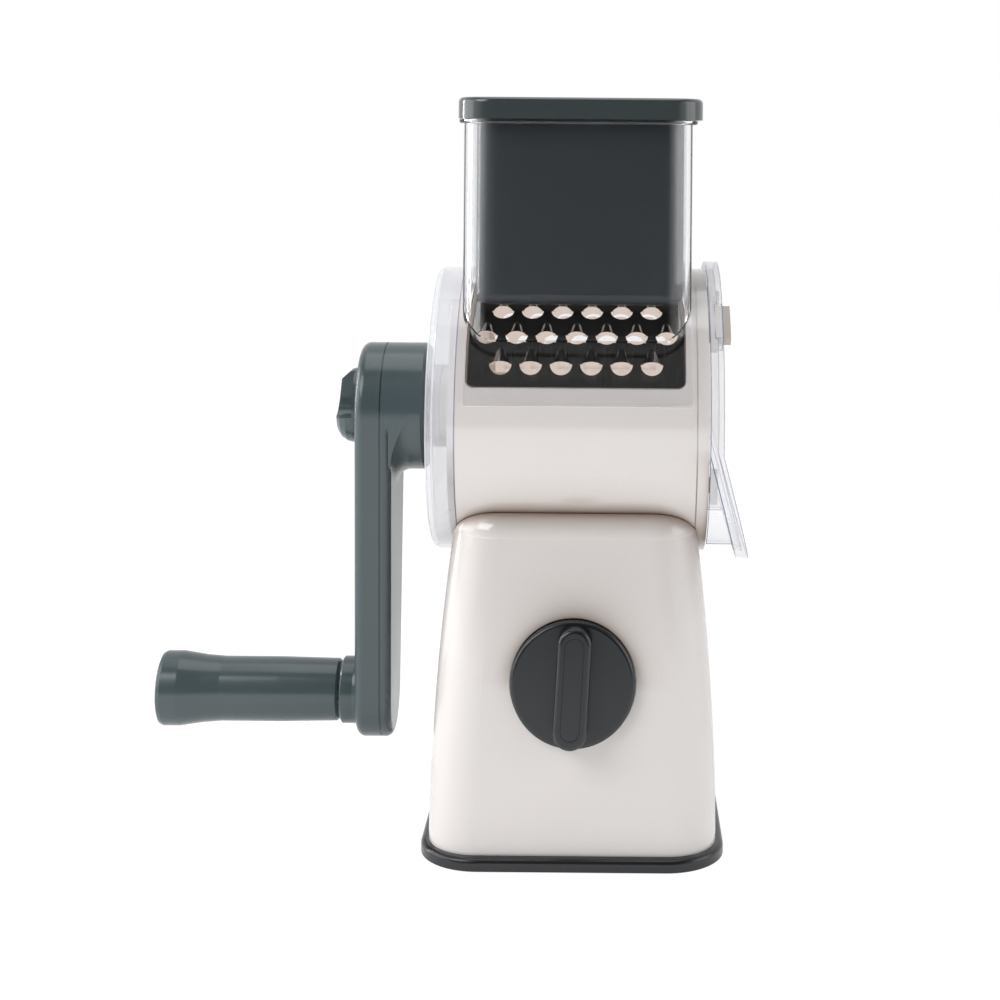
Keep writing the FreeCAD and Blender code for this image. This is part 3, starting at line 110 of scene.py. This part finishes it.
def add_node(tree, kind, links=None, settings=None, **inputs):
    """Adds one node. Settings are its own fields, and inputs its sockets' values by name, with
    underscores for spaces. Links are the sockets that another node's output feeds, and the
    plain values of sockets that have only a number."""
    node = tree.nodes.new(kind)
    for field, value in (settings or {}).items():
        setattr(node, field, value)
    for socket, value in inputs.items():
        node.inputs[socket.replace("_", " ")].default_value = value
    for socket, source in (links or {}).items():
        if isinstance(source, bpy.types.NodeSocket):
            tree.links.new(source, node.inputs[socket])
        else:
            node.inputs[socket].default_value = source
    return node


def new_material(name):
    """A material with an empty node tree, and that tree."""
    material = bpy.data.materials.new(name)
    material.use_nodes = True
    material.node_tree.nodes.clear()
    return material, material.node_tree


def moulded_plastic(name, colour, roughness, grain_mm=0.4, grain_depth=0.004, coat=0.0,
                    painted_joint_shade=None, painted_inner_glow=None):
    """ABS or polypropylene from a steel mould: an almost even colour, a soft gloss that
    varies a little where it is handled, and the mould's fine spark grain as bump. Given a
    joint shade colour, a painted shade darkens it to that colour down in the joint between the
    base and the drum housing. Given an inner glow, the housing's bore has a painted glow that
    stands for the light inside the drum."""
    material, tree = new_material(name)
    place = add_node(tree, "ShaderNodeTexCoord").outputs["Object"]
    patches = add_node(tree, "ShaderNodeTexNoise", {"Vector": place}, Scale=1 / PATCH_SIZE,
                       Detail=2.0).outputs["Fac"]
    shine = add_node(tree, "ShaderNodeMapRange", {"Value": patches}, From_Min=0.1, From_Max=0.9,
                     To_Min=roughness - GLOSS_SPREAD, To_Max=roughness + GLOSS_SPREAD)
    tone = add_node(tree, "ShaderNodeValToRGB",
                    {"Fac": open_places(tree, place) if painted_joint_shade else patches})
    dark, pale = tone.color_ramp.elements
    pale.color = linear(colour)
    # Painted shade: deep in the joint the colour darkens to the joint shade colour.
    if painted_joint_shade:
        dark.color = linear(painted_joint_shade)
        dark.position = JOINT_DEEP
    else:
        dark.color = (*[channel * PATCH_SHADE for channel in linear(colour)[:3]], 1.0)
    grain = add_node(tree, "ShaderNodeTexNoise", {"Vector": place}, Scale=1 / (grain_mm * MM),
                     Detail=1.0)
    bump = add_node(tree, "ShaderNodeBump", {"Height": grain.outputs["Fac"]},
                    Strength=0.2, Distance=grain_depth * MM)
    surface = add_node(tree, "ShaderNodeBsdfPrincipled",
                       {"Base Color": tone.outputs["Color"], "Roughness": shine.outputs["Result"],
                        "Normal": bump.outputs["Normal"]},
                       IOR=1.5, Coat_Weight=coat, Coat_Roughness=0.12)
    # Painted glow: the housing's bore gives off the inner glow colour in place of the light
    # inside the drum.
    if painted_inner_glow:
        glow = add_node(tree, "ShaderNodeMath", {0: in_the_bore(tree, place), 1: BORE_GLOW},
                        {"operation": "MULTIPLY"})
        surface.inputs["Emission Color"].default_value = linear(painted_inner_glow)
        tree.links.new(glow.outputs["Value"], surface.inputs["Emission Strength"])
    add_node(tree, "ShaderNodeOutputMaterial", {"Surface": surface.outputs["BSDF"]})
    return material


def from_axis(tree, place):
    """The part of a position that points straight away from the drum's axis."""
    offset = add_node(tree, "ShaderNodeVectorMath", {0: place, 1: (0, 0, AXIS_HEIGHT)},
                      {"operation": "SUBTRACT"})
    across = add_node(tree, "ShaderNodeVectorMath", {0: offset.outputs["Vector"], 1: (0, 1, 1)},
                      {"operation": "MULTIPLY"})
    return across.outputs["Vector"]


def in_the_bore(tree, place):
    """1 on the housing's bore and the inner face of its end wall, 0 elsewhere."""
    radius = add_node(tree, "ShaderNodeVectorMath", {0: from_axis(tree, place)},
                      {"operation": "LENGTH"})
    near = add_node(tree, "ShaderNodeMath", {0: radius.outputs["Value"], 1: BORE_RADIUS},
                    {"operation": "LESS_THAN"})
    along = add_node(tree, "ShaderNodeSeparateXYZ", {"Vector": place})
    right = add_node(tree, "ShaderNodeMath", {0: along.outputs["X"], 1: BORE_START},
                     {"operation": "GREATER_THAN"})
    return add_node(tree, "ShaderNodeMath", {0: near.outputs["Value"], 1: right.outputs["Value"]},
                    {"operation": "MULTIPLY"}).outputs["Value"]


def open_places(tree, place):
    """The mask of the painted shade in the joint: 0 deep in the joint between the base and the
    drum housing, and 1 in the open.
    """
    shut = add_node(tree, "ShaderNodeAmbientOcclusion", settings={"samples": 6},
                    Distance=JOINT_REACH)
    height = add_node(tree, "ShaderNodeSeparateXYZ", {"Vector": place})
    level = add_node(tree, "ShaderNodeMath", {0: height.outputs["Z"], 1: JOINT_HEIGHT},
                     {"operation": "SUBTRACT"})
    apart = add_node(tree, "ShaderNodeMath", {0: level.outputs["Value"]},
                     {"operation": "ABSOLUTE"})
    away = add_node(tree, "ShaderNodeMapRange", {"Value": apart.outputs["Value"]},
                    From_Min=JOINT_NEAR, From_Max=JOINT_FAR)
    return add_node(tree, "ShaderNodeMath", {0: shut.outputs["AO"], 1: away.outputs["Result"]},
                    {"operation": "MAXIMUM"}).outputs["Value"]


def let_light_through(tree, surface):
    """Sends shadow rays straight through a clear surface, so that it casts no hard shadow."""
    clear = add_node(tree, "ShaderNodeBsdfTransparent", Color=linear(CLEAR_LIGHT))
    path = add_node(tree, "ShaderNodeLightPath")
    mix = add_node(tree, "ShaderNodeMixShader", {"Fac": path.outputs["Is Shadow Ray"],
                                                 1: surface, 2: clear.outputs["BSDF"]})
    add_node(tree, "ShaderNodeOutputMaterial", {"Surface": mix.outputs["Shader"]})


def clear_plastic(name, colour):
    """Clear SAN, which bends what is seen through it, with faint flow waves."""
    material, tree = new_material(name)
    place = add_node(tree, "ShaderNodeTexCoord").outputs["Object"]
    wave = add_node(tree, "ShaderNodeTexNoise", {"Vector": place}, Scale=1 / WAVE_LENGTH,
                    Detail=1.0)
    bump = add_node(tree, "ShaderNodeBump", {"Height": wave.outputs["Fac"]}, Strength=0.03,
                    Distance=0.2 * MM)
    glass = add_node(tree, "ShaderNodeBsdfPrincipled", {"Normal": bump.outputs["Normal"]},
                     Base_Color=linear(colour), Roughness=0.0, IOR=1.45,
                     Transmission_Weight=1.0)
    let_light_through(tree, glass.outputs["BSDF"])
    return material


def thin_cover(name, veil, painted_edge_colour):
    """A thin clear moulding: little of it shows face on, more where it turns away, and painted
    lines on its rounded edges stand for the light that its corners bend. It also has a faint
    painted glow in its own colours."""
    material, tree = new_material(name)
    turned = add_node(tree, "ShaderNodeLayerWeight", Blend=0.35)
    body = add_node(tree, "ShaderNodeMapRange", {"Value": turned.outputs["Facing"]},
                    To_Min=COVER_FACE_ON, To_Max=COVER_TURNED)
    face = add_node(tree, "ShaderNodeNewGeometry")
    # The painted edge line: where the rounded edge turns away, the colour goes to the edge
    # colour.
    bevel = add_node(tree, "ShaderNodeBevel", settings={"samples": 8}, Radius=EDGE_WIDTH)
    match = add_node(tree, "ShaderNodeVectorMath",
                     {0: bevel.outputs["Normal"], 1: face.outputs["Normal"]},
                     {"operation": "DOT_PRODUCT"})
    line = add_node(tree, "ShaderNodeMapRange", {"Value": match.outputs["Value"]},
                    From_Min=EDGE_STARTS, From_Max=EDGE_FULL)
    cover = add_node(tree, "ShaderNodeMath",
                     {0: body.outputs["Result"], 1: line.outputs["Result"]},
                     {"operation": "MAXIMUM"})
    colour = add_node(tree, "ShaderNodeMix", {"Factor": line.outputs["Result"]},
                      {"data_type": "RGBA"}, A=linear(veil), B=linear(painted_edge_colour))
    # The faint emission is a painted glow of the veil and the edge lines.
    gloss = add_node(tree, "ShaderNodeBsdfPrincipled",
                     {"Base Color": colour.outputs["Result"], "Alpha": cover.outputs["Value"],
                      "Emission Color": colour.outputs["Result"]},
                     Roughness=0.12, IOR=1.45, Emission_Strength=0.1)
    let_light_through(tree, gloss.outputs["BSDF"])
    return material


def pressed_steel(name, colour, roughness, lining=None, painted_inner_glow=None):
    """Stainless sheet, rolled and stamped. The rollers leave fine lines round the drum, which
    are noise squeezed along one axis. Given a lining colour, the face towards the drum's axis
    and the edges of the holes are a pale satin lining with a painted glow in the inner glow
    colour, which stands for the light inside the drum."""
    material, tree = new_material(name)
    place = add_node(tree, "ShaderNodeTexCoord").outputs["Object"]
    stretch = add_node(tree, "ShaderNodeMapping", {"Vector": place},
                       Scale=(1.0, LINE_STRETCH, LINE_STRETCH))
    lines = add_node(tree, "ShaderNodeTexNoise", {"Vector": stretch.outputs["Vector"]},
                     Scale=1 / LINE_PITCH, Detail=3.0).outputs["Fac"]
    shine = add_node(tree, "ShaderNodeMapRange", {"Value": lines}, From_Min=0.3, From_Max=0.7,
                     To_Min=roughness - 0.04, To_Max=roughness + 0.06)
    bump = add_node(tree, "ShaderNodeBump", {"Height": lines}, Strength=0.12,
                    Distance=0.02 * MM)
    metal = add_node(tree, "ShaderNodeBsdfPrincipled",
                     {"Roughness": shine.outputs["Result"], "Normal": bump.outputs["Normal"]},
                     Base_Color=linear(colour), Metallic=1.0)
    surface = metal.outputs["BSDF"]
    # Painted glow: the lining gives off light in place of the light inside the drum.
    if lining:
        inner = add_node(tree, "ShaderNodeBsdfPrincipled", Roughness=0.5,
                         Base_Color=linear(lining), Emission_Color=linear(painted_inner_glow),
                         Emission_Strength=LINING_GLOW)
        surface = add_node(tree, "ShaderNodeMixShader",
                           {"Fac": inside_drum(tree, place), 1: surface,
                            2: inner.outputs["BSDF"]}).outputs["Shader"]
    add_node(tree, "ShaderNodeOutputMaterial", {"Surface": surface})
    return material


def inside_drum(tree, place):
    """1 where the drum's sheet faces its axis or the edge of a hole, 0 on the outside."""
    facing = add_node(tree, "ShaderNodeTexCoord").outputs["Normal"]
    outward = add_node(tree, "ShaderNodeVectorMath", {0: from_axis(tree, place)},
                       {"operation": "NORMALIZE"})
    match = add_node(tree, "ShaderNodeVectorMath", {0: outward.outputs["Vector"], 1: facing},
                     {"operation": "DOT_PRODUCT"})
    return add_node(tree, "ShaderNodeMath", {0: match.outputs["Value"], 1: INWARD},
                    {"operation": "LESS_THAN"}).outputs["Value"]


def finish_nodes(material, *names):
    """Gives CAD nodes a material in place of the plain one they came with."""
    for name in names:
        for slot in NODES[name].material_slots:
            slot.material = material


# --- Settings -----------------------------------------------------------------------------

class StudioSettings(bpy.types.PropertyGroup):
    """Camera, lamps and floor."""
    distance: bpy.props.FloatProperty(name="Distance", default=0.68, unit="LENGTH",
                                      description="From the camera to the drum's axis")
    eye_side: bpy.props.FloatProperty(name="Camera to the right", default=12.3 * MM,
                                      unit="LENGTH", description="From the middle of the base")
    eye_height: bpy.props.FloatProperty(name="Camera height", default=257.6 * MM,
                                        unit="LENGTH", description="Above the floor")
    roll: bpy.props.FloatProperty(name="Camera roll", default=math.radians(-0.5),
                                  subtype="ANGLE", description="Turn about the line of sight")
    focal_mm: bpy.props.FloatProperty(name="Focal length", default=63.18,
                                      description="Camera lens in millimetres")
    shift_x: bpy.props.FloatProperty(name="Shift across", default=-0.112,
                                     description="Lens shift, as a share of the picture")
    shift_y: bpy.props.FloatProperty(name="Shift down", default=-0.3587,
                                     description="Lens shift that keeps upright lines upright")
    key_power: bpy.props.FloatProperty(name="Key lamp", default=7.6,
                                       description="Power of the front lamp in watts")
    side_power: bpy.props.FloatProperty(name="Side lamps", default=4.0,
                                        description="Power of a side lamp in watts, of which "
                                                    "each takes its share")
    top_power: bpy.props.FloatProperty(name="Top lamp", default=3.0,
                                       description="Power of the lamp overhead in watts")
    room_level: bpy.props.FloatProperty(name="Room level", default=0.9,
                                        description="Light from behind, above and the sides")
    front_level: bpy.props.FloatProperty(name="Front level", default=0.08,
                                         description="Light from where the camera stands")
    floor_level: bpy.props.FloatProperty(name="Floor level", default=0.45,
                                         description="Light from the floor in front")


class FinishSettings(bpy.types.PropertyGroup):
    """Colours of the finishes, as sRGB hex text."""
    white_abs: bpy.props.StringProperty(name="White ABS", default="#d3cecb",
                                        description="Base and drum housing")
    # Painted shade: the colour that white ABS darkens to down in the joint.
    painted_joint_shade: bpy.props.StringProperty(name="Crevice", default="#86705f",
                                      description="White ABS down in the joint")
    slate_abs: bpy.props.StringProperty(name="Slate ABS", default="#424e51",
                                        description="Crank, grip, lock knob and drive shaft")
    charcoal: bpy.props.StringProperty(name="Charcoal", default="#191c20",
                                       description="Suction knob and skirt")
    pusher: bpy.props.StringProperty(name="Pusher", default="#2e3336",
                                     description="Pusher body")
    lid: bpy.props.StringProperty(name="Lid", default="#363d3e", description="Pusher lid")
    steel: bpy.props.StringProperty(name="Steel", default="#9a9896",
                                    description="Drum sheet")
    lining: bpy.props.StringProperty(name="Lining", default="#857d76",
                                     description="Inner face of the drum sheet")
    # Painted glow: the colour that the drum's lining and the housing's bore give off, though they
    # are no lamp.
    painted_inner_glow: bpy.props.StringProperty(name="Inner light", default="#d8cac1",
                                          description="Light inside the drum and its housing")
    screw_steel: bpy.props.StringProperty(name="Screw steel", default="#c4c2bd",
                                          description="Screws, clip and shaft of the base")
    pin_steel: bpy.props.StringProperty(name="Pin steel", default="#c9c7c2",
                                        description="Pin, screw and bolt of the crank")
    clear: bpy.props.StringProperty(name="Clear SAN", default="#fcfcfd",
                                    description="Hopper")
    veil: bpy.props.StringProperty(name="Veil", default="#dfe0e4",
                                   description="Faces of the rear cap and the guard")
    # Painted lines on the rounded edges, which stand for the light that the corners bend.
    painted_edge_line: bpy.props.StringProperty(name="Edge line", default="#46547f",
                                        description="Edges of the rear cap and the guard")
    beige: bpy.props.StringProperty(name="Beige acetal", default="#b5ada3",
                                    description="Latches and hooks of the guard")
    cream: bpy.props.StringProperty(name="Cream ABS", default="#ddd5cd",
                                    description="Drum hub and front ring")
    acetal: bpy.props.StringProperty(name="Natural acetal", default="#d8d2c6",
                                     description="Stem, cam and bush")
    rubber: bpy.props.StringProperty(name="Rubber", default="#262729",
                                     description="Suction cup")


# --- Operators ----------------------------------------------------------------------------

class SHREDDER_OT_stage(bpy.types.Operator):
    """Sets up the camera, the lamps, the world and the pale floor"""
    bl_idname = "shredder.stage"
    bl_label = "Set up the stage"

    def execute(self, context):
        settings = context.scene.shredder_studio
        self.camera(context, settings)
        self.lamp(context, "key_lamp", place=(-0.75, -0.75, 0.95), aim=(0, 0, 0.13),
                  width=0.7, power=settings.key_power)
        self.lamp(context, "left_lamp", place=(-1.0, -0.1, 0.45), aim=(0, 0, 0.12),
                  width=0.7, power=0.8 * settings.side_power)
        self.lamp(context, "left_strip", place=(-1.3, 0.5, 0.35), aim=(0, 0, 0.15),
                  width=0.12, height=0.8, power=1.3 * settings.side_power)
        self.lamp(context, "right_lamp", place=(1.0, -0.2, 0.45), aim=(0, 0, 0.12),
                  width=0.7, power=0.6 * settings.side_power)
        self.lamp(context, "top_lamp", place=(0.0, 0.1, 1.2), aim=(0, 0, 0.1),
                  width=0.8, power=settings.top_power)
        self.world(context, settings)
        self.floor(context, settings)
        context.scene.view_settings.view_transform = "Standard"
        return {"FINISHED"}

    @staticmethod
    def camera(context, settings):
        """Level, at the height of the hopper, with a lens shift that takes in the base."""
        camera = bpy.data.cameras.new("photo_camera")
        camera.lens = settings.focal_mm
        camera.sensor_width = 36.0
        camera.shift_x = settings.shift_x
        camera.shift_y = settings.shift_y
        eye = bpy.data.objects.new("photo_camera", camera)
        eye.location = (settings.eye_side, -settings.distance, settings.eye_height)
        eye.rotation_euler = (math.radians(90), settings.roll, 0)
        context.scene.collection.objects.link(eye)
        context.scene.camera = eye

    @staticmethod
    def lamp(context, name, place, aim, width, power, height=None):
        """A soft box that faces the point it is aimed at. It is square unless given a height."""
        light = bpy.data.lights.new(name, "AREA")
        light.shape = "RECTANGLE"
        light.size = height or width
        light.size_y = width
        light.energy = power
        item = bpy.data.objects.new(name, light)
        item.location = place
        away = np.array(place) - np.array(aim)
        yaw = math.atan2(away[1], away[0])
        pitch = math.atan2(math.hypot(away[0], away[1]), away[2])
        item.rotation_euler = (0, pitch, yaw)
        context.scene.collection.objects.link(item)

    @staticmethod
    def to_the_eye(tree, seen, unseen, ahead=None):
        """Mixes two shaders: the first where the camera sees the surface, straight or
        through clear plastic, and the second as light and in reflections. Rays bent far
        off by the plastic, away from what is ahead, count as reflections, and rays that have
        met a matt surface on their way count as light."""
        path = add_node(tree, "ShaderNodeLightPath")
        first = add_node(tree, "ShaderNodeMath", {0: path.outputs["Diffuse Depth"], 1: 0.5},
                         {"operation": "LESS_THAN"})
        through = add_node(tree, "ShaderNodeMath",
                           {0: path.outputs["Is Transmission Ray"], 1: first.outputs["Value"]},
                           {"operation": "MULTIPLY"}).outputs["Value"]
        if ahead:
            through = add_node(tree, "ShaderNodeMath", {0: through, 1: ahead},
                               {"operation": "MULTIPLY"}).outputs["Value"]
        eye = add_node(tree, "ShaderNodeMath", {0: path.outputs["Is Camera Ray"], 1: through},
                       {"operation": "MAXIMUM"})
        return add_node(tree, "ShaderNodeMixShader", {"Fac": eye.outputs["Value"], 1: unseen,
                                                      2: seen}).outputs["Shader"]

    @staticmethod
    def rise(tree, value, start, end):
        """A smooth step from 0 to 1 between two values."""
        return add_node(tree, "ShaderNodeMapRange", {"Value": value},
                        {"interpolation_type": "SMOOTHSTEP"}, From_Min=start,
                        From_Max=end).outputs["Result"]

    def world(self, context, settings):
        """White to the eye. As light it is a room that is bright behind, above and at both
        sides, and dark in front, where the camera stands."""
        world = bpy.data.worlds.new("studio_world")
        world.use_nodes = True
        tree = world.node_tree
        tree.nodes.clear()
        heading = add_node(tree, "ShaderNodeSeparateXYZ",
                           {"Vector": add_node(tree, "ShaderNodeTexCoord").outputs["Generated"]})
        side = add_node(tree, "ShaderNodeMath", {0: heading.outputs["X"]},
                        {"operation": "ABSOLUTE"})
        bright = self.rise(tree, side.outputs["Value"], *ROOM_SIDES)
        for axis, start, end in (ROOM_BEHIND, ROOM_ABOVE):
            step = self.rise(tree, heading.outputs[axis], start, end)
            bright = add_node(tree, "ShaderNodeMath", {0: bright, 1: step},
                              {"operation": "MAXIMUM"}).outputs["Value"]
        level = add_node(tree, "ShaderNodeMapRange", {"Value": bright},
                         To_Min=settings.front_level, To_Max=settings.room_level)
        room = add_node(tree, "ShaderNodeBackground", {"Strength": level.outputs["Result"]},
                        Color=(1, 1, 1, 1))
        white = add_node(tree, "ShaderNodeBackground", Color=(1, 1, 1, 1), Strength=1.0)
        ahead = self.rise(tree, heading.outputs["Y"], *ROOM_AHEAD)
        surface = self.to_the_eye(tree, white.outputs[0], room.outputs[0], ahead)
        add_node(tree, "ShaderNodeOutputWorld", {"Surface": surface})
        context.scene.world = world

    def floor(self, context, settings):
        """White paper. To the eye it is nearly white and keeps the shadow. As light its front
        part shines a little."""
        mesh = bpy.data.meshes.new("floor")
        corners = [(-FLOOR_REACH, FLOOR_FRONT, 0), (FLOOR_REACH, FLOOR_FRONT, 0),
                   (FLOOR_REACH, FLOOR_REACH, 0), (-FLOOR_REACH, FLOOR_REACH, 0)]
        mesh.from_pydata(corners, [], [(0, 1, 2, 3)])
        item = bpy.data.objects.new("floor", mesh)
        context.scene.collection.objects.link(item)
        material, tree = new_material("white studio paper")
        place = add_node(tree, "ShaderNodeTexCoord").outputs["Object"]
        depth = add_node(tree, "ShaderNodeSeparateXYZ", {"Vector": place})
        front = self.rise(tree, depth.outputs["Y"], *FLOOR_LIGHT)
        lit = add_node(tree, "ShaderNodeMath", {0: front, 1: settings.floor_level},
                       {"operation": "MULTIPLY"})
        light = add_node(tree, "ShaderNodeEmission", {"Strength": lit.outputs["Value"]})
        matt = add_node(tree, "ShaderNodeBsdfDiffuse", Color=linear("#f2f2f2"))
        unseen = add_node(tree, "ShaderNodeAddShader", {0: matt.outputs[0], 1: light.outputs[0]})
        glow = add_node(tree, "ShaderNodeEmission", Color=(1, 1, 1, 1), Strength=0.93)
        shaded = add_node(tree, "ShaderNodeBsdfDiffuse", Color=linear("#6a6a6a"))
        seen = add_node(tree, "ShaderNodeAddShader", {0: glow.outputs[0], 1: shaded.outputs[0]})
        surface = self.to_the_eye(tree, seen.outputs[0], unseen.outputs[0])
        add_node(tree, "ShaderNodeOutputMaterial", {"Surface": surface})
        mesh.materials.append(material)


class SHREDDER_OT_base(bpy.types.Operator):
    """Finishes the base, its skirt, the suction cup and the knob"""
    bl_idname = "shredder.base"
    bl_label = "Finish the base"

    def execute(self, context):
        colours = context.scene.shredder_finish
        # From a polished mould: a clear gloss over a soft white body. It has a painted shade
        # down in the joint and a painted glow in the bore.
        white = moulded_plastic("white ABS, polished mould", colours.white_abs, roughness=0.16,
                                grain_mm=0.5, grain_depth=0.002, coat=0.8,
                                painted_joint_shade=colours.painted_joint_shade, painted_inner_glow=colours.painted_inner_glow)
        # From an etched mould: nearly black, with broad soft lights on its edges.
        charcoal = moulded_plastic("charcoal ABS, satin", colours.charcoal, roughness=0.25)
        # Zinc plated: a pale even metal.
        steel = pressed_steel("plated screw steel", colours.screw_steel, roughness=0.22)
        # Undyed and slippery: a waxy off-white.
        acetal = moulded_plastic("natural acetal", colours.acetal, roughness=0.4)
        # Moulded matt: a black that takes hardly any light.
        rubber = moulded_plastic("black rubber", colours.rubber, roughness=0.6, grain_mm=0.3,
                                 grain_depth=0.012)
        finish_nodes(white, "base_shell", "barrel_housing")
        finish_nodes(charcoal, "base_frame", "suction_knob", "knob_inset")
        finish_nodes(steel, "base_screws", "cam_shaft", "shaft_clip", "knob_screw")
        finish_nodes(acetal, "pull_stem", "lift_cam", "bearing_bush")
        finish_nodes(rubber, "suction_pad")
        return {"FINISHED"}


class SHREDDER_OT_upper(bpy.types.Operator):
    """Finishes the hopper, the pusher, the drum, the guard and the caps"""
    bl_idname = "shredder.upper"
    bl_label = "Finish the upper unit"

    def execute(self, context):
        colours = context.scene.shredder_finish
        # Thick walls of real depth, whose corners bend what lies behind them.
        clear = clear_plastic("clear SAN", colours.clear)
        # Moulded smooth: an even dark grey behind the clear wall.
        pusher = moulded_plastic("pusher polypropylene", colours.pusher, roughness=0.3,
                                 grain_mm=0.6, grain_depth=0.0008)
        # A touch glossier than the body, because the hand polishes it.
        lid = moulded_plastic("lid polypropylene", colours.lid, roughness=0.2, grain_mm=0.6,
                              grain_depth=0.0008, coat=0.4)
        # Bright rolled sheet: dark where it mirrors the front of the room, and pale within, where
        # the lining has a painted glow.
        steel = pressed_steel("stamped stainless", colours.steel, roughness=0.1,
                              lining=colours.lining, painted_inner_glow=colours.painted_inner_glow)
        # Dyed to go with the housing, with a soft waxy light.
        beige = moulded_plastic("beige acetal", colours.beige, roughness=0.4)
        # The drum's inner parts, as pale as the lining.
        cream = moulded_plastic("cream ABS", colours.cream, roughness=0.4)
        # Thin walls that show by their painted edge lines, with a faint painted glow.
        cover = thin_cover("clear SAN, thin cover", colours.veil, colours.painted_edge_line)
        finish_nodes(clear, "hopper")
        finish_nodes(cover, "rear_cap", "guard")
        finish_nodes(pusher, "pusher_body")
        finish_nodes(lid, "pusher_lid")
        finish_nodes(steel, "drum_sheet")
        finish_nodes(cream, "drum_hub", "drum_front_ring")
        finish_nodes(beige, "latch_front", "latch_rear", "hook_front", "hook_rear")
        return {"FINISHED"}


class SHREDDER_OT_crank(bpy.types.Operator):
    """Finishes the crank, the grip and the lock knob"""
    bl_idname = "shredder.crank"
    bl_label = "Finish the crank"

    def execute(self, context):
        colours = context.scene.shredder_finish
        # From a fine mould: a green grey with long soft lights down the arm and the grip.
        slate = moulded_plastic("slate ABS, satin", colours.slate_abs, roughness=0.22)
        # Turned and ground: the brightest metal here.
        steel = pressed_steel("bright pin steel", colours.pin_steel, roughness=0.18)
        finish_nodes(slate, "crank_outer_shell", "crank_inner_shell", "handle_grip",
                     "grip_end_cap", "grip_collar", "crank_lock_knob", "drive_shaft")
        finish_nodes(steel, "handle_spindle", "grip_retainer", "lock_bolt")
        return {"FINISHED"}


class SHREDDER_PT_panel(bpy.types.Panel):
    """Lists the steps in the sidebar"""
    bl_label = "Rotary shredder"
    bl_idname = "SHREDDER_PT_panel"
    bl_space_type = "VIEW_3D"
    bl_region_type = "UI"
    bl_category = "Shredder"

    def draw(self, context):
        for step in STEPS:
            self.layout.operator(step.bl_idname)


STEPS = (SHREDDER_OT_stage, SHREDDER_OT_base, SHREDDER_OT_upper, SHREDDER_OT_crank)
CLASSES = (StudioSettings, FinishSettings, *STEPS, SHREDDER_PT_panel)


def register():
    for item in CLASSES:
        bpy.utils.register_class(item)
    bpy.types.Scene.shredder_studio = bpy.props.PointerProperty(type=StudioSettings)
    bpy.types.Scene.shredder_finish = bpy.props.PointerProperty(type=FinishSettings)


def unregister():
    del bpy.types.Scene.shredder_finish
    del bpy.types.Scene.shredder_studio
    for item in reversed(CLASSES):
        bpy.utils.unregister_class(item)


def main():
    register()
    for step in STEPS:
        family, name = step.bl_idname.split(".")
        getattr(getattr(bpy.ops, family), name)()


if __name__ == "__main__":
    main()
